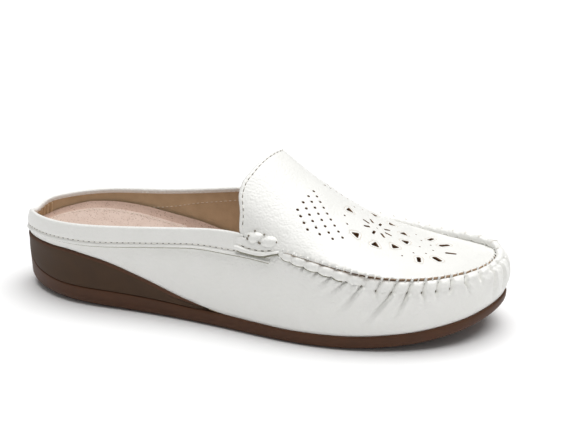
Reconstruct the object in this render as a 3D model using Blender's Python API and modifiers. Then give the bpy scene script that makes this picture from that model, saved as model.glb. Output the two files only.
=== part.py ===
"""Backless moccasin mule for the right foot: a gathered leather upper on a moulded wedge sole.

+X points to the toe, +Y to the medial side and +Z up. The origin lies on the ground, under the
middle of the shoe. Tables and named sizes are in millimetres, and MM turns them into metres.
"""

from math import pi

import bmesh
import bpy
import numpy as np

MM = 0.001

# Driving sizes
SOLE_LENGTH = 250.0        # heel to toe, along the sole
CENTRE_Y = -0.4            # where the middle of the shoe's box lies in the tables below
GAP = 0.3                  # left between pieces that touch
LEATHER = 1.8              # upper leather with its lining
FEATHER_INSET = 0.9        # the upper stands this far inside the sole's edge
SHELF = 3.3                # ledge on the sole for the upper's edge, measured from the sole's edge
INSOLE_THICKNESS = 2.6
BAND_THICKNESS = 1.0
TAB_THICKNESS = 1.2
TAB_TOP = 0.8              # the tab's upper edge, below the seam
TAB_HEIGHT = 8.4
TAB_END = 0.35             # share of the tab's height left at its ends
TAB_ROUND = 0.6            # how full its half-moon is: lower is fuller
SEAM_RADIUS = 1.3          # the whip-stitched ridge round the vamp
SEAM_LIFT = 0.25           # the ridge's clearance over the leather, besides the gap
TREAD_INSET = 3.4          # the flat of the tread starts this far inside the sole's edge
ROLLED_INSET = 1.2         # the outsole's lower edge rounds off through here
ROLLED_RISE = 0.7
ROLLED_HEIGHT = 2.6        # and is upright from here
WEDGE_FRONT = 150.0        # the wedge ends here, under the ball
WEDGE_KNIFE = 200.0        # side of the block that cuts it
WEDGE_HIDES = (100.0, 118.0)   # between these the wedge draws in under the upper
WEDGE_LIP = 0.15           # least height of the wedge where it runs out

# Heights along the shoe, and how far the stitched band reaches below the collar.
# x is the distance from the back of the heel.
#        x    ground  groove  feather  footbed  band
LEVELS = (
    (   0.0,   2.6,   13.8,    26.4,    29.2,    9.8),
    (  14.0,   0.0,    9.2,    27.2,    29.0,   10.0),
    (  32.0,   0.0,    7.4,    27.4,    28.6,   10.3),
    (  52.0,   0.0,    7.2,    24.4,    27.2,   10.8),
    (  77.0,   0.0,    7.2,    17.6,    23.2,   10.2),
    ( 102.0,   0.0,    7.0,    11.2,    18.0,    9.6),
    ( 124.0,   0.0,    6.6,     7.8,    13.4,   10.8),
    ( 152.0,   0.0,    6.2,     6.5,    10.6,   12.0),
    ( 178.0,   0.0,    6.2,     6.5,     9.9,   12.0),
    ( 205.0,   1.0,    7.2,     7.5,    10.6,   12.0),
    ( 230.0,   4.8,   10.6,    10.9,    13.8,   12.0),
    ( 250.0,  10.8,   16.0,    16.3,    19.2,   12.0),
)

# Ribs of the last, from the back of the heel along the lateral side to the toe tip.
# The sole's edge, where the wall ends (collar, then vamp seam), how round the wall's section is
# from straight 0 to a quarter ellipse 1, and how far it swells.
#            sole_x  sole_y   top_x   top_y   top_z  round  swell
LATERAL_RIBS = (
    (         0.0,    3.0,    2.2,    3.0,   41.4,  0.0,   0.6),
    (        27.5,  -24.2,   27.6,  -22.8,   42.0,  0.0,   0.6),
    (        62.5,  -29.2,   62.5,  -28.8,   43.8,  0.0,   0.6),
    (       102.5,  -33.2,  102.5,  -31.0,   47.4,  0.1,   0.8),
    (       130.5,  -38.4,  130.5,  -34.0,   48.2,  0.3,   1.0),
    (       148.5,  -42.0,  148.5,  -36.8,   44.6,  0.4,   1.2),
    (       171.5,  -44.0,  171.5,  -39.8,   39.8,  0.5,   1.4),
    (       198.5,  -40.8,  198.0,  -38.6,   35.0,  0.6,   1.6),
    (       221.5,  -32.6,  221.5,  -29.0,   34.0,  0.8,   2.0),
    (       238.5,  -20.0,  237.0,  -14.6,   34.4,  0.9,   2.0),
    (       250.0,    7.0,  243.5,    6.0,   35.0,  1.0,   1.6),
)
MEDIAL_RIBS = (
    (         0.0,    3.0,    2.2,    3.0,   41.4,  0.0,   0.6),
    (        27.5,   28.6,   27.6,   28.0,   42.6,  0.0,   0.6),
    (        62.5,   30.2,   62.5,   30.6,   45.4,  0.0,   0.6),
    (       102.5,   31.0,  102.5,   31.4,   48.6,  0.1,   0.8),
    (       130.5,   33.6,  130.5,   33.2,   48.6,  0.3,   1.0),
    (       148.5,   36.8,  148.5,   33.4,   45.4,  0.4,   1.2),
    (       171.5,   41.0,  171.5,   32.6,   41.0,  0.6,   1.4),
    (       198.5,   43.0,  198.0,   30.0,   36.6,  0.8,   1.6),
    (       221.5,   38.0,  221.5,   23.5,   34.8,  0.9,   2.0),
    (       238.5,   27.0,  237.0,   16.5,   34.8,  1.0,   2.0),
    (       250.0,    7.0,  243.5,    6.0,   35.0,  1.0,   1.6),
)
CORNER_RIB = 4             # the rib where the collar meets the throat
TAB_RIBS = (3.9, 5.1)      # the tab reaches between these, counted in ribs
BAND_RIB = 4.8             # the band ends here on each side
SEAM_RIB = 5.3             # the ridge of the seam starts here

# How far the vamp rises above its two seams, and how square its arch is (0.5 is a half ellipse).
#        x     rise  square
VAMP = (
    ( 130.5,  30.2,  0.50),
    ( 148.5,  23.7,  0.62),
    ( 160.0,  20.0,  0.70),
    ( 171.5,  15.2,  0.74),
    ( 185.0,  10.1,  0.78),
    ( 198.0,   5.9,  0.82),
    ( 210.0,   3.2,  0.86),
    ( 221.5,   1.4,  0.88),
    ( 236.0,   0.3,  0.88),
    ( 243.5,   0.0,  0.88),
)

# How far the throat's edge lies in front of its corners, from the lateral to the medial one.
#        swing  ahead
THROAT = (
    (    -1.0,   0.0),
    (    -0.93, -1.0),
    (    -0.8,  -1.6),
    (    -0.6,  -3.3),
    (    -0.5,  -2.9),
    (    -0.35,  0.0),
    (    -0.2,   3.0),
    (     0.0,   7.0),
    (     0.12,  8.6),
    (     0.3,   6.8),
    (     0.45,  2.6),
    (     0.6,  -0.4),
    (     0.8,  -1.0),
    (     1.0,   0.0),
)
THROAT_FADE = 0.45         # share of the vamp over which that dies away

# Mesh density
COLLAR_COLUMNS = 22
TOE_COLUMNS = 30
WALL_ROWS = 7
VAMP_COLUMNS = 16

COLOURS = {
    "outsole": (0.045, 0.024, 0.017, 0.55),
    "heel_wedge": (0.075, 0.045, 0.032, 0.55),
    "insole": (0.62, 0.48, 0.38, 0.80),
    "upper": (0.86, 0.86, 0.83, 0.42),
    "collar_band": (0.84, 0.84, 0.81, 0.42),
    "side_tab": (0.85, 0.85, 0.82, 0.42),
    "toe_seam": (0.85, 0.85, 0.82, 0.42),
}


def smooth(knots, values, at):
    """Monotone cubic through a short table: it never overshoots, so flat rows stay flat."""
    knots = np.asarray(knots, float)
    values = np.asarray(values, float)
    step = np.diff(knots)
    rise = np.diff(values) / step
    slope = np.zeros_like(values)
    both = rise[:-1] * rise[1:] > 0
    slope[1:-1][both] = 2 * (rise[:-1] * rise[1:])[both] / (rise[:-1] + rise[1:])[both]
    slope[0], slope[-1] = rise[0], rise[-1]
    k = np.clip(np.searchsorted(knots, at) - 1, 0, len(step) - 1)
    s = np.clip((at - knots[k]) / step[k], 0, 1)
    near = (1 + 2 * s) * (1 - s) ** 2 * values[k] + s * (1 - s) ** 2 * step[k] * slope[k]
    far = s * s * (3 - 2 * s) * values[k + 1] - s * s * (1 - s) * step[k] * slope[k + 1]
    return near + far


def closed_curve(knots, rows, at):
    """Periodic cubic spline through rows of numbers; the last row repeats the first."""
    step = np.diff(knots)
    count = len(step)
    rise = np.diff(rows, axis=0) / step[:, None]
    system = np.zeros((count, count))
    for i in range(count):
        system[i, i - 1] += step[i - 1]
        system[i, i] += 2 * (step[i - 1] + step[i])
        system[i, (i + 1) % count] += step[i]
    bend = np.linalg.solve(system, 6 * (rise - np.roll(rise, 1, axis=0)))
    bend = np.vstack([bend, bend[:1]])
    at = np.mod(at, 1.0)
    k = np.clip(np.searchsorted(knots, at, side="right") - 1, 0, count - 1)
    h = step[k][:, None]
    a = (np.asarray(knots)[k + 1] - at)[:, None]
    b = (at - np.asarray(knots)[k])[:, None]
    curve = (bend[k] * a ** 3 + bend[k + 1] * b ** 3) / (6 * h)
    return curve + (rows[k] / h - bend[k] * h / 6) * a + (rows[k + 1] / h - bend[k + 1] * h / 6) * b


def side_knots(ribs):
    """Shares of the way along one side of the sole, 0 at the heel and 1 at the toe."""
    edge = np.array(ribs)[:, :2]
    length = np.r_[0, np.cumsum(np.hypot(*np.diff(edge, axis=0).T))]
    return length / length[-1]


LATERAL_KNOTS = side_knots(LATERAL_RIBS)
MEDIAL_KNOTS = side_knots(MEDIAL_RIBS)
RIB_KNOTS = np.r_[LATERAL_KNOTS / 2, 1 - MEDIAL_KNOTS[-2::-1] / 2]
RIB_ROWS = np.vstack([LATERAL_RIBS, MEDIAL_RIBS[-2::-1]])


def lateral_walk(rib):
    """The walk round the shoe at a rib of the lateral side, which may lie between two ribs."""
    return float(np.interp(rib, range(len(LATERAL_KNOTS)), LATERAL_KNOTS)) / 2


def level(name, x):
    """Height of one of the sole's lines at x."""
    table = np.array(LEVELS)
    column = ("x", "ground", "groove", "feather", "footbed", "band").index(name)
    return smooth(table[:, 0], table[:, column], x)


def sole_edge(walk, inset=0.0):
    """Plan of the sole's edge, moved inwards by inset."""
    ribs = closed_curve(RIB_KNOTS, RIB_ROWS, walk)
    ahead = closed_curve(RIB_KNOTS, RIB_ROWS, walk + 1e-4)[:, :2]
    along = ahead - ribs[:, :2]
    inward = np.c_[-along[:, 1], along[:, 0]]
    inward /= np.linalg.norm(inward, axis=1)[:, None]
    move = np.broadcast_to(inset, len(inward))[:, None]
    return ribs[:, :2] + inward * move, inward, ribs


def wall(walk, climb):
    """A point of the wall's outside: walk goes round the shoe, climb from the feather to the top."""
    foot, inward, ribs = sole_edge(walk, FEATHER_INSET)
    top = ribs[:, 2:5]
    roundness = ribs[:, 5]
    swell = ribs[:, 6]
    start = np.c_[foot, level("feather", foot[:, 0]) + GAP]
    angle = climb * pi / 2
    across = (1 - roundness) * climb + roundness * (1 - np.cos(angle))
    up = (1 - roundness) * climb + roundness * np.sin(angle)
    point = start + (top - start) * np.c_[across, across, up]
    point[:, :2] -= inward * (swell * np.sin(pi * climb))[:, None]
    return point


def wall_at_drop(walk, drop):
    """The wall at a distance below its top edge."""
    height = np.linalg.norm(wall(walk, np.ones_like(walk)) - wall(walk, np.zeros_like(walk)), axis=1)
    return 1 - drop / height


def wall_normal(walk, climb):
    """Outward normal of the wall."""
    climb = np.minimum(climb, 0.995)
    along = wall(walk + 1e-3, climb) - wall(walk - 1e-3, climb)
    up = wall(walk, climb + 5e-3) - wall(walk, climb - 5e-3)
    normal = np.cross(along, up)
    return normal / np.linalg.norm(normal, axis=1)[:, None]


def vamp(forward, swing):
    """A point of the vamp: forward runs from throat to toe, swing from the lateral to the medial seam."""
    corner = lateral_walk(CORNER_RIB)
    walk = corner + forward * (0.5 - corner)
    ones = np.ones_like(walk)
    lateral = wall(walk, ones)
    medial = wall(1 - walk, ones)
    share = (np.sin(swing * pi / 2) + 1) / 2
    point = lateral + (medial - lateral) * share[:, None]
    table = np.array(VAMP)
    rise = smooth(table[:, 0], table[:, 1], point[:, 0])
    square = smooth(table[:, 0], table[:, 2], point[:, 0])
    cosine = np.abs(np.cos(swing * pi / 2))
    point[:, 2] += rise * cosine ** (2 * square)
    fade = np.clip(1 - forward / THROAT_FADE, 0, 1) ** 2
    edge = np.array(THROAT)
    point[:, 0] += fade * smooth(edge[:, 0], edge[:, 1], swing)
    return point


def vamp_normal(forward, swing):
    """Outward normal of the vamp."""
    along = vamp(forward + 2e-3, swing) - vamp(forward - 2e-3, swing)
    across = vamp(forward, swing + 4e-3) - vamp(forward, swing - 4e-3)
    normal = np.cross(along, across)
    return normal / np.linalg.norm(normal, axis=1)[:, None]


def seam_normal(walk):
    """Between the wall's normal and the vamp's, where the two meet."""
    side = np.where(walk < 0.5, -1.0, 1.0)
    corner = lateral_walk(CORNER_RIB)
    forward = (np.minimum(walk, 1 - walk) - corner) / (0.5 - corner)
    both = wall_normal(walk, np.ones_like(walk)) + vamp_normal(np.clip(forward, 0.01, 0.97), side * 0.94)
    return both / np.linalg.norm(both, axis=1)[:, None]


def place(point):
    """From the tables' millimetres to the frame's metres."""
    return (np.asarray(point) - (SOLE_LENGTH / 2, CENTRE_Y, 0.0)) * MM


def add_mesh(name, points, faces, collection):
    """A named object with its own material."""
    mesh = bpy.data.meshes.new(name)
    mesh.from_pydata([tuple(p) for p in points], [], faces)
    shell = bmesh.new()
    shell.from_mesh(mesh)
    bmesh.ops.remove_doubles(shell, verts=shell.verts, dist=1e-6)
    bmesh.ops.recalc_face_normals(shell, faces=shell.faces)
    shell.to_mesh(mesh)
    shell.free()
    thing = bpy.data.objects.new(name, mesh)
    collection.objects.link(thing)
    paint(thing)
    return thing


def paint(thing):
    """Colour and roughness by the piece's family name."""
    family = next(key for key in COLOURS if thing.name.startswith(key))
    red, green, blue, rough = COLOURS[family]
    finish = bpy.data.materials.new(thing.name)
    finish.use_nodes = True
    shader = finish.node_tree.nodes["Principled BSDF"]
    shader.inputs["Base Color"].default_value = (red, green, blue, 1)
    shader.inputs["Roughness"].default_value = rough
    thing.data.materials.clear()
    thing.data.materials.append(finish)
    for polygon in thing.data.polygons:
        polygon.use_smooth = True


def thicken(thing, thickness, outwards):
    """Solidify to one side of the surface, with the rim closed."""
    wall_thickness = thing.modifiers.new("thickness", "SOLIDIFY")
    wall_thickness.thickness = thickness * MM
    wall_thickness.offset = 1 if outwards else -1
    wall_thickness.use_even_offset = False


def columns():
    """Walk values round the shoe, mirrored between the sides, with one on each throat corner."""
    corner = lateral_walk(CORNER_RIB)
    back = np.linspace(0, corner, COLLAR_COLUMNS, endpoint=False)
    front = np.linspace(corner, 0.5, TOE_COLUMNS, endpoint=False)
    half = np.r_[back, front, 0.5]
    return np.r_[half, 1 - half[-2:0:-1]]


def stack(name, rings, collection):
    """A solid from closed rings, bottom to top, capped by rungs from one side to the other."""
    count = len(rings[0])
    half = count // 2
    faces = []
    for r in range(len(rings) - 1):
        low, high = r * count, (r + 1) * count
        for i in range(count):
            j = (i + 1) % count
            faces.append((low + i, low + j, high + j, high + i))
    for base in (0, (len(rings) - 1) * count):
        faces.append((base, base + 1, base + count - 1))
        faces.append((base + half - 1, base + half, base + half + 1))
        for i in range(1, half - 1):
            faces.append((base + i, base + i + 1, base + count - i - 1, base + count - i))
    return add_mesh(name, place(np.vstack(rings)), faces, collection)


def ring(walk, inset, height):
    """One ring of a stack: the sole's edge moved inwards, at a height worked out from x."""
    plan = sole_edge(walk, inset)[0]
    return np.c_[plan, height(plan[:, 0])]


def build_outsole(collection):
    """Thin rubber outsole with a rolled lower edge, flat under heel and ball, sprung at the toe."""
    walk = columns()
    rings = [
        ring(walk, TREAD_INSET, lambda x: level("ground", x)),
        ring(walk, ROLLED_INSET, lambda x: level("ground", x) + ROLLED_RISE),
        ring(walk, 0.0, lambda x: level("ground", x) + ROLLED_HEIGHT),
        ring(walk, 0.0, lambda x: level("groove", x)),
    ]
    return stack("outsole", rings, collection)


def build_heel_wedge(collection, cutters):
    """Moulded wedge: flush with the outsole at the heel, drawn inside the upper in front of the arch."""
    walk = columns()
    x = sole_edge(walk)[0][:, 0]
    hidden = smooth((0.0, *WEDGE_HIDES, SOLE_LENGTH), (0.0, 0.0, 1.0, 1.0), x)
    outer = (SHELF - 0.2) * hidden
    rings = [
        ring(walk, outer, lambda x: level("groove", x) + GAP),
        ring(walk, outer, lambda x: np.maximum(level("feather", x), level("groove", x) + GAP + WEDGE_LIP)),
        ring(walk, SHELF, lambda x: np.maximum(level("feather", x), level("groove", x) + GAP + WEDGE_LIP + 0.05)),
        ring(walk, SHELF + 0.2, lambda x: level("footbed", x) - INSOLE_THICKNESS - GAP),
    ]
    wedge = stack("heel_wedge", rings, collection)
    bpy.ops.mesh.primitive_cube_add(size=1)
    knife = bpy.context.object
    knife.name = "wedge_cutter"
    knife.scale = (WEDGE_KNIFE * MM,) * 3
    knife.location = place((WEDGE_FRONT + WEDGE_KNIFE / 2, 0, 0))
    knife.hide_render = True
    knife.display_type = "WIRE"
    bpy.context.collection.objects.unlink(knife)
    cutters.objects.link(knife)
    cut = wedge.modifiers.new("front end", "BOOLEAN")
    cut.object = knife
    cut.operation = "DIFFERENCE"
    cut.solver = "EXACT"
    return wedge


def build_insole(collection):
    """Padded insole that fills the floor of the shoe."""
    walk = columns()
    rings = [
        ring(walk, SHELF + 0.4, lambda x: level("footbed", x) - INSOLE_THICKNESS),
        ring(walk, SHELF + 0.4, lambda x: level("footbed", x) - 0.5),
        ring(walk, SHELF + 1.2, lambda x: level("footbed", x)),
    ]
    return stack("insole", rings, collection)


def build_upper(collection):
    """Wall and vamp in one sheet, joined along the seam, open at the collar, the throat and the sole."""
    walk = columns()
    count = len(walk)
    points = []
    faces = []
    for row in range(WALL_ROWS + 1):
        points.extend(place(wall(walk, np.full(count, row / WALL_ROWS))))
    for row in range(WALL_ROWS):
        for i in range(count):
            j = (i + 1) % count
            low, high = row * count, (row + 1) * count
            faces.append((low + i, low + j, high + j, high + i))
    top = WALL_ROWS * count
    swings = np.linspace(-1, 1, VAMP_COLUMNS + 1)
    rungs = []
    for step in range(TOE_COLUMNS):
        inner = swings[1:-1]
        start = len(points)
        points.extend(place(vamp(np.full(len(inner), step / TOE_COLUMNS), inner)))
        left = top + COLLAR_COLUMNS + step
        right = top + count - COLLAR_COLUMNS - step
        rungs.append([left, *range(start, start + len(inner)), right])
    for near, far in zip(rungs, rungs[1:]):
        for i in range(VAMP_COLUMNS):
            faces.append((near[i], near[i + 1], far[i + 1], far[i]))
    tip = top + count // 2
    for i in range(VAMP_COLUMNS):
        faces.append((rungs[-1][i], rungs[-1][i + 1], tip))
    upper = add_mesh("upper", points, faces, collection)
    thicken(upper, LEATHER, outwards=False)
    return upper


def patch(name, walks, drops, lift, thickness, collection):
    """A raised piece on the wall: rows of walk and drop values, lifted off the leather."""
    rows, cols = walks.shape
    flat_walk = walks.ravel()
    climb = wall_at_drop(flat_walk, drops.ravel())
    point = wall(flat_walk, climb) + wall_normal(flat_walk, climb) * lift
    faces = []
    for r in range(rows - 1):
        for c in range(cols - 1):
            k = r * cols + c
            faces.append((k, k + 1, k + cols + 1, k + cols))
    piece = add_mesh(name, place(point), faces, collection)
    thicken(piece, thickness, outwards=True)
    return piece


def build_collar_band(collection):
    """Stitched band below the collar, from one side tab round the heel to the other."""
    end = lateral_walk(BAND_RIB)
    walk = np.linspace(-end, end, 2 * COLLAR_COLUMNS + 9)
    depth = level("band", sole_edge(walk)[0][:, 0])
    drops = np.outer(np.linspace(1, 0.02, 4), depth)
    walks = np.tile(walk, (len(drops), 1))
    return patch("collar_band", walks, drops, GAP + 0.05, BAND_THICKNESS, collection)


def build_side_tab(side, collection):
    """Half-moon tab over the end of the band, below the seam."""
    rear, front = (lateral_walk(rib) for rib in TAB_RIBS)
    along = np.linspace(0, 1, 13)
    across = np.linspace(0, 1, 5)
    belly = TAB_END + (1 - TAB_END) * np.abs(np.sin(pi * along)) ** TAB_ROUND
    walks = np.tile(rear + (front - rear) * along, (len(across), 1))
    drops = TAB_TOP + TAB_HEIGHT * np.outer(across, belly)
    if side == "medial":
        walks = -walks
    lift = GAP + 0.05 + BAND_THICKNESS + GAP
    return patch("side_tab_" + side, walks, drops, lift, TAB_THICKNESS, collection)


def build_toe_seam(collection):
    """Ridge of the whip-stitched seam, from tab to tab round the toe."""
    start = lateral_walk(SEAM_RIB)
    walk = np.linspace(start, 1 - start, 2 * TOE_COLUMNS)
    ones = np.ones_like(walk)
    path = place(wall(walk, ones) + seam_normal(walk) * (SEAM_RADIUS + GAP + SEAM_LIFT))
    curve = bpy.data.curves.new("toe_seam", "CURVE")
    curve.dimensions = "3D"
    curve.bevel_depth = SEAM_RADIUS * MM
    curve.bevel_resolution = 2
    curve.use_fill_caps = True
    line = curve.splines.new("POLY")
    line.points.add(len(path) - 1)
    for point, position in zip(line.points, path):
        point.co = (*position, 1)
    ridge = bpy.data.objects.new("toe_seam", curve)
    collection.objects.link(ridge)
    bpy.context.view_layer.update()
    mesh = bpy.data.meshes.new_from_object(ridge.evaluated_get(bpy.context.evaluated_depsgraph_get()))
    bpy.data.objects.remove(ridge)
    shell = bmesh.new()
    shell.from_mesh(mesh)
    bmesh.ops.remove_doubles(shell, verts=shell.verts, dist=1e-6)
    bmesh.ops.recalc_face_normals(shell, faces=shell.faces)
    shell.to_mesh(mesh)
    shell.free()
    seam = bpy.data.objects.new("toe_seam", mesh)
    collection.objects.link(seam)
    paint(seam)
    return seam


def new_collection(name):
    collection = bpy.data.collections.new(name)
    bpy.context.scene.collection.children.link(collection)
    return collection


def main():
    for thing in list(bpy.data.objects):
        bpy.data.objects.remove(thing)
    mule = new_collection("moccasin_mule")
    cutters = new_collection("cutters")
    build_outsole(mule)
    build_heel_wedge(mule, cutters)
    build_insole(mule)
    build_upper(mule)
    build_collar_band(mule)
    for side in ("lateral", "medial"):
        build_side_tab(side, mule)
    build_toe_seam(mule)


main()
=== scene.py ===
# %% [markdown]
# # A backless moccasin mule
# This lesson builds one right shoe: a white leather mule whose toe wall is gathered into a flat
# plug, laced over its raw edge, and set on a low moulded wedge. Every piece is worked out from
# the same ribs of the last, in millimetres, and placed in the imported frame's metres at the end.
# X points to the toe, Y to the medial side and Z up.

# %% Load the frame and keep its parts
from math import cos, pi, radians, sin

import bmesh
import bpy
import numpy as np
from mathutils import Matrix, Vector
from mathutils.geometry import delaunay_2d_cdt


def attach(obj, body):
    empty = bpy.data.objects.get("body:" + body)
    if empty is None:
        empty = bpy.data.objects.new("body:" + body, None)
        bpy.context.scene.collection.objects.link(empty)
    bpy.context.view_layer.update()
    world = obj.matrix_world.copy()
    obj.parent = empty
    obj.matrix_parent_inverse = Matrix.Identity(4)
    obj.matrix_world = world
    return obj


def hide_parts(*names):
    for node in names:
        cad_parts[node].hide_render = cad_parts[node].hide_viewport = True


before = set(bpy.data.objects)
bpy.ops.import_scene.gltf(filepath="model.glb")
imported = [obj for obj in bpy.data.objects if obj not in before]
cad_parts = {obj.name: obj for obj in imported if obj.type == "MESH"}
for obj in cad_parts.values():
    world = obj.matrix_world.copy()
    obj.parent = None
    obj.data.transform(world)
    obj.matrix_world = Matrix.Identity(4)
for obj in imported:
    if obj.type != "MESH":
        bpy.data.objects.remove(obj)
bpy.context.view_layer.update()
scene = bpy.context.scene

# %% [markdown]
# ## Camera
# The shoe is seen from its outer side, a little towards the toe and 19 degrees above the table.

# %% Camera
AZIMUTH, ELEVATION, DISTANCE = radians(14.6), radians(19.1), 0.449
AIM = Vector((0.01685, 0.00666, 0.04455))
towards = Vector((sin(AZIMUTH) * cos(ELEVATION), -cos(AZIMUTH) * cos(ELEVATION), sin(ELEVATION)))
lens = bpy.data.cameras.new("camera")
lens.lens, lens.sensor_width, lens.sensor_fit = 56.15, 36.0, "HORIZONTAL"
lens.clip_start, lens.clip_end = 0.02, 50.0
camera = bpy.data.objects.new("camera", lens)
scene.collection.objects.link(camera)
camera.location = AIM + towards * DISTANCE
camera.rotation_euler = towards.to_track_quat("Z", "Y").to_euler()
scene.camera = camera
print("camera at", tuple(round(v, 4) for v in camera.location))

# %% [markdown]
# ## The last
# A shoe is shaped by its last, so the whole upper comes from a few ribs: at each one, where the
# sole's edge and the wall's top are, how round the wall is and how far it swells. A periodic
# spline through the ribs gives the wall anywhere round the shoe, and the vamp is an arch over
# the two top edges.

# %% Tables of the last
MM = 0.001
SOLE_LENGTH, CENTRE_Y, GAP = 250.0, -0.4, 0.3
FEATHER_INSET = 0.9        # the wall stands this far inside the sole's edge
CORNER_RIB, BAND_RIB = 4, 4.8
HEEL_DIP, HEEL_PULL = 3.0, 1.0   # the collar's elastic pulls the rim down and in at the very back
THROAT_FADE = 0.45         # share of the vamp over which the throat's shape dies away

LEVEL_NAMES = ("x", "ground", "groove", "feather", "footbed", "band")
LEVELS = np.array((
    (0, 3.8, 23.0, 28.4, 30.2, 9.8),
    (6, 2.0, 16.5, 28.9, 30.2, 9.5),
    (14, 1.0, 12.6, 29.2, 30.0, 9.2),
    (32, 0.7, 10.4, 29.3, 29.8, 9.3),
    (52, 0.5, 9.9, 26.6, 28.4, 9.7),
    (77, 0.2, 9.1, 19.2, 24.0, 9.2),
    (102, 0.0, 7.9, 11.2, 18.0, 8.9),
    (124, 0.0, 6.6, 7.4, 13.4, 10.2),
    (145, 0.0, 6.3, 6.7, 10.8, 8.3),
    (152, 0.0, 6.2, 6.5, 10.6, 7.2),
    (178, 0.3, 6.5, 6.8, 10.1, 12.0),
    (205, 2.3, 8.4, 8.7, 11.6, 12.0),
    (230, 6.8, 12.5, 12.8, 15.4, 12.0),
    (250, 12.6, 17.7, 18.0, 20.4, 12.0),
))
# sole_x, top_x, swell, then sole_y, top_y, top_z, round on the lateral and on the medial side
RIBS = (
    (0.0, 2.2, 0.6, (3.0, 3.0, 41.4, 0.0), (3.0, 3.0, 41.4, 0.0)),
    (27.5, 27.6, 0.6, (-24.2, -22.8, 42.0, 0.0), (28.6, 28.0, 43.4, 0.0)),
    (62.5, 62.5, 0.6, (-29.2, -28.8, 43.8, 0.0), (30.2, 30.6, 45.2, 0.0)),
    (102.5, 102.5, 0.8, (-33.2, -31.0, 47.4, 0.1), (31.0, 31.4, 49.0, 0.1)),
    (130.5, 130.5, 1.0, (-38.4, -34.0, 48.2, 0.3), (33.6, 33.2, 49.4, 0.3)),
    (148.5, 148.5, 1.2, (-42.0, -36.8, 44.6, 0.4), (36.8, 33.4, 45.4, 0.4)),
    (171.5, 171.5, 1.4, (-44.0, -39.8, 39.8, 0.5), (41.0, 32.6, 41.0, 0.6)),
    (198.5, 198.0, 1.6, (-40.8, -38.6, 35.0, 0.6), (43.0, 30.0, 36.6, 0.8)),
    (221.5, 221.5, 2.0, (-32.6, -29.0, 34.0, 0.8), (38.0, 23.5, 34.8, 0.9)),
    (238.5, 237.0, 2.0, (-20.0, -14.6, 34.4, 0.9), (27.0, 16.5, 34.8, 1.0)),
    (250.0, 243.5, 1.6, (7.0, 6.0, 35.0, 1.0), (7.0, 6.0, 35.0, 1.0)),
)
# x, rise of the vamp's arch, how square it is
VAMP = np.array((
    (130.5, 30.2, 0.50), (148.5, 23.7, 0.62), (160.0, 20.0, 0.70), (171.5, 15.2, 0.74), (185.0, 10.1, 0.78),
    (198.0, 5.9, 0.82), (210.0, 3.2, 0.86), (221.5, 1.4, 0.88), (236.0, 0.3, 0.88), (243.5, 0.0, 0.88),
))
# swing across the throat, how far its edge runs ahead of the corners
THROAT = np.array((
    (-1.0, -1.6), (-0.93, -1.9), (-0.8, -1.8), (-0.6, -3.3), (-0.5, -2.9), (-0.35, 0.0), (-0.2, 3.0),
    (0.0, 7.0), (0.12, 8.6), (0.3, 6.8), (0.45, 2.6), (0.6, -0.4), (0.8, -1.0), (1.0, 0.0),
))
print(2 * len(RIBS) - 2, "ribs round the last")

# %% Smooth curves through the tables
def smooth(knots, values, at):
    """Monotone cubic through a short table: it never overshoots, so flat rows stay flat."""
    knots, values = np.asarray(knots, float), np.asarray(values, float)
    step = np.diff(knots)
    rise = np.diff(values) / step
    slope = np.zeros_like(values)
    both = rise[:-1] * rise[1:] > 0
    slope[1:-1][both] = 2 * (rise[:-1] * rise[1:])[both] / (rise[:-1] + rise[1:])[both]
    slope[0], slope[-1] = rise[0], rise[-1]
    k = np.clip(np.searchsorted(knots, at) - 1, 0, len(step) - 1)
    s = np.clip((at - knots[k]) / step[k], 0, 1)
    near = (1 + 2 * s) * (1 - s) ** 2 * values[k] + s * (1 - s) ** 2 * step[k] * slope[k]
    far = s * s * (3 - 2 * s) * values[k + 1] - s * s * (1 - s) * step[k] * slope[k + 1]
    return near + far


def read_table(table, at):
    """Every column of a table, smoothed at one place of its first column."""
    return [smooth(table[:, 0], table[:, k], at) for k in range(1, table.shape[1])]


def closed_curve(knots, rows, at):
    """Periodic cubic spline through rows of numbers; the last row repeats the first."""
    step = np.diff(knots)
    count = len(step)
    rise = np.diff(rows, axis=0) / step[:, None]
    system = np.zeros((count, count))
    for i in range(count):
        system[i, i - 1] += step[i - 1]
        system[i, i] += 2 * (step[i - 1] + step[i])
        system[i, (i + 1) % count] += step[i]
    bend = np.linalg.solve(system, 6 * (rise - np.roll(rise, 1, axis=0)))
    bend = np.vstack([bend, bend[:1]])
    at = np.mod(at, 1.0)
    k = np.clip(np.searchsorted(knots, at, side="right") - 1, 0, count - 1)
    h = step[k][:, None]
    a = (np.asarray(knots)[k + 1] - at)[:, None]
    b = (at - np.asarray(knots)[k])[:, None]
    curve = (bend[k] * a ** 3 + bend[k + 1] * b ** 3) / (6 * h)
    return curve + (rows[k] / h - bend[k] * h / 6) * a + (rows[k + 1] / h - bend[k + 1] * h / 6) * b


def side_ribs(which):
    """One side's ribs, and its knots: shares of the way along the sole's edge from heel to toe."""
    rows = []
    for rib in RIBS:
        sole_y, top_y, top_z, roundness = rib[which]
        rows.append((rib[0], sole_y, rib[1], top_y, top_z, roundness, rib[2]))
    rows = np.array(rows)
    length = np.r_[0, np.cumsum(np.hypot(*np.diff(rows[:, :2], axis=0).T))]
    return rows, length / length[-1]


(LATERAL_ROWS, LATERAL_KNOTS), (MEDIAL_ROWS, MEDIAL_KNOTS) = side_ribs(3), side_ribs(4)
RIB_KNOTS = np.r_[LATERAL_KNOTS / 2, 1 - MEDIAL_KNOTS[-2::-1] / 2]
RIB_ROWS = np.vstack([LATERAL_ROWS, MEDIAL_ROWS[-2::-1]])
CORNER, BAND_END = np.interp((CORNER_RIB, BAND_RIB), range(len(RIBS)), LATERAL_KNOTS) / 2
print("the throat's corner is at walk", round(CORNER, 4))

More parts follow.
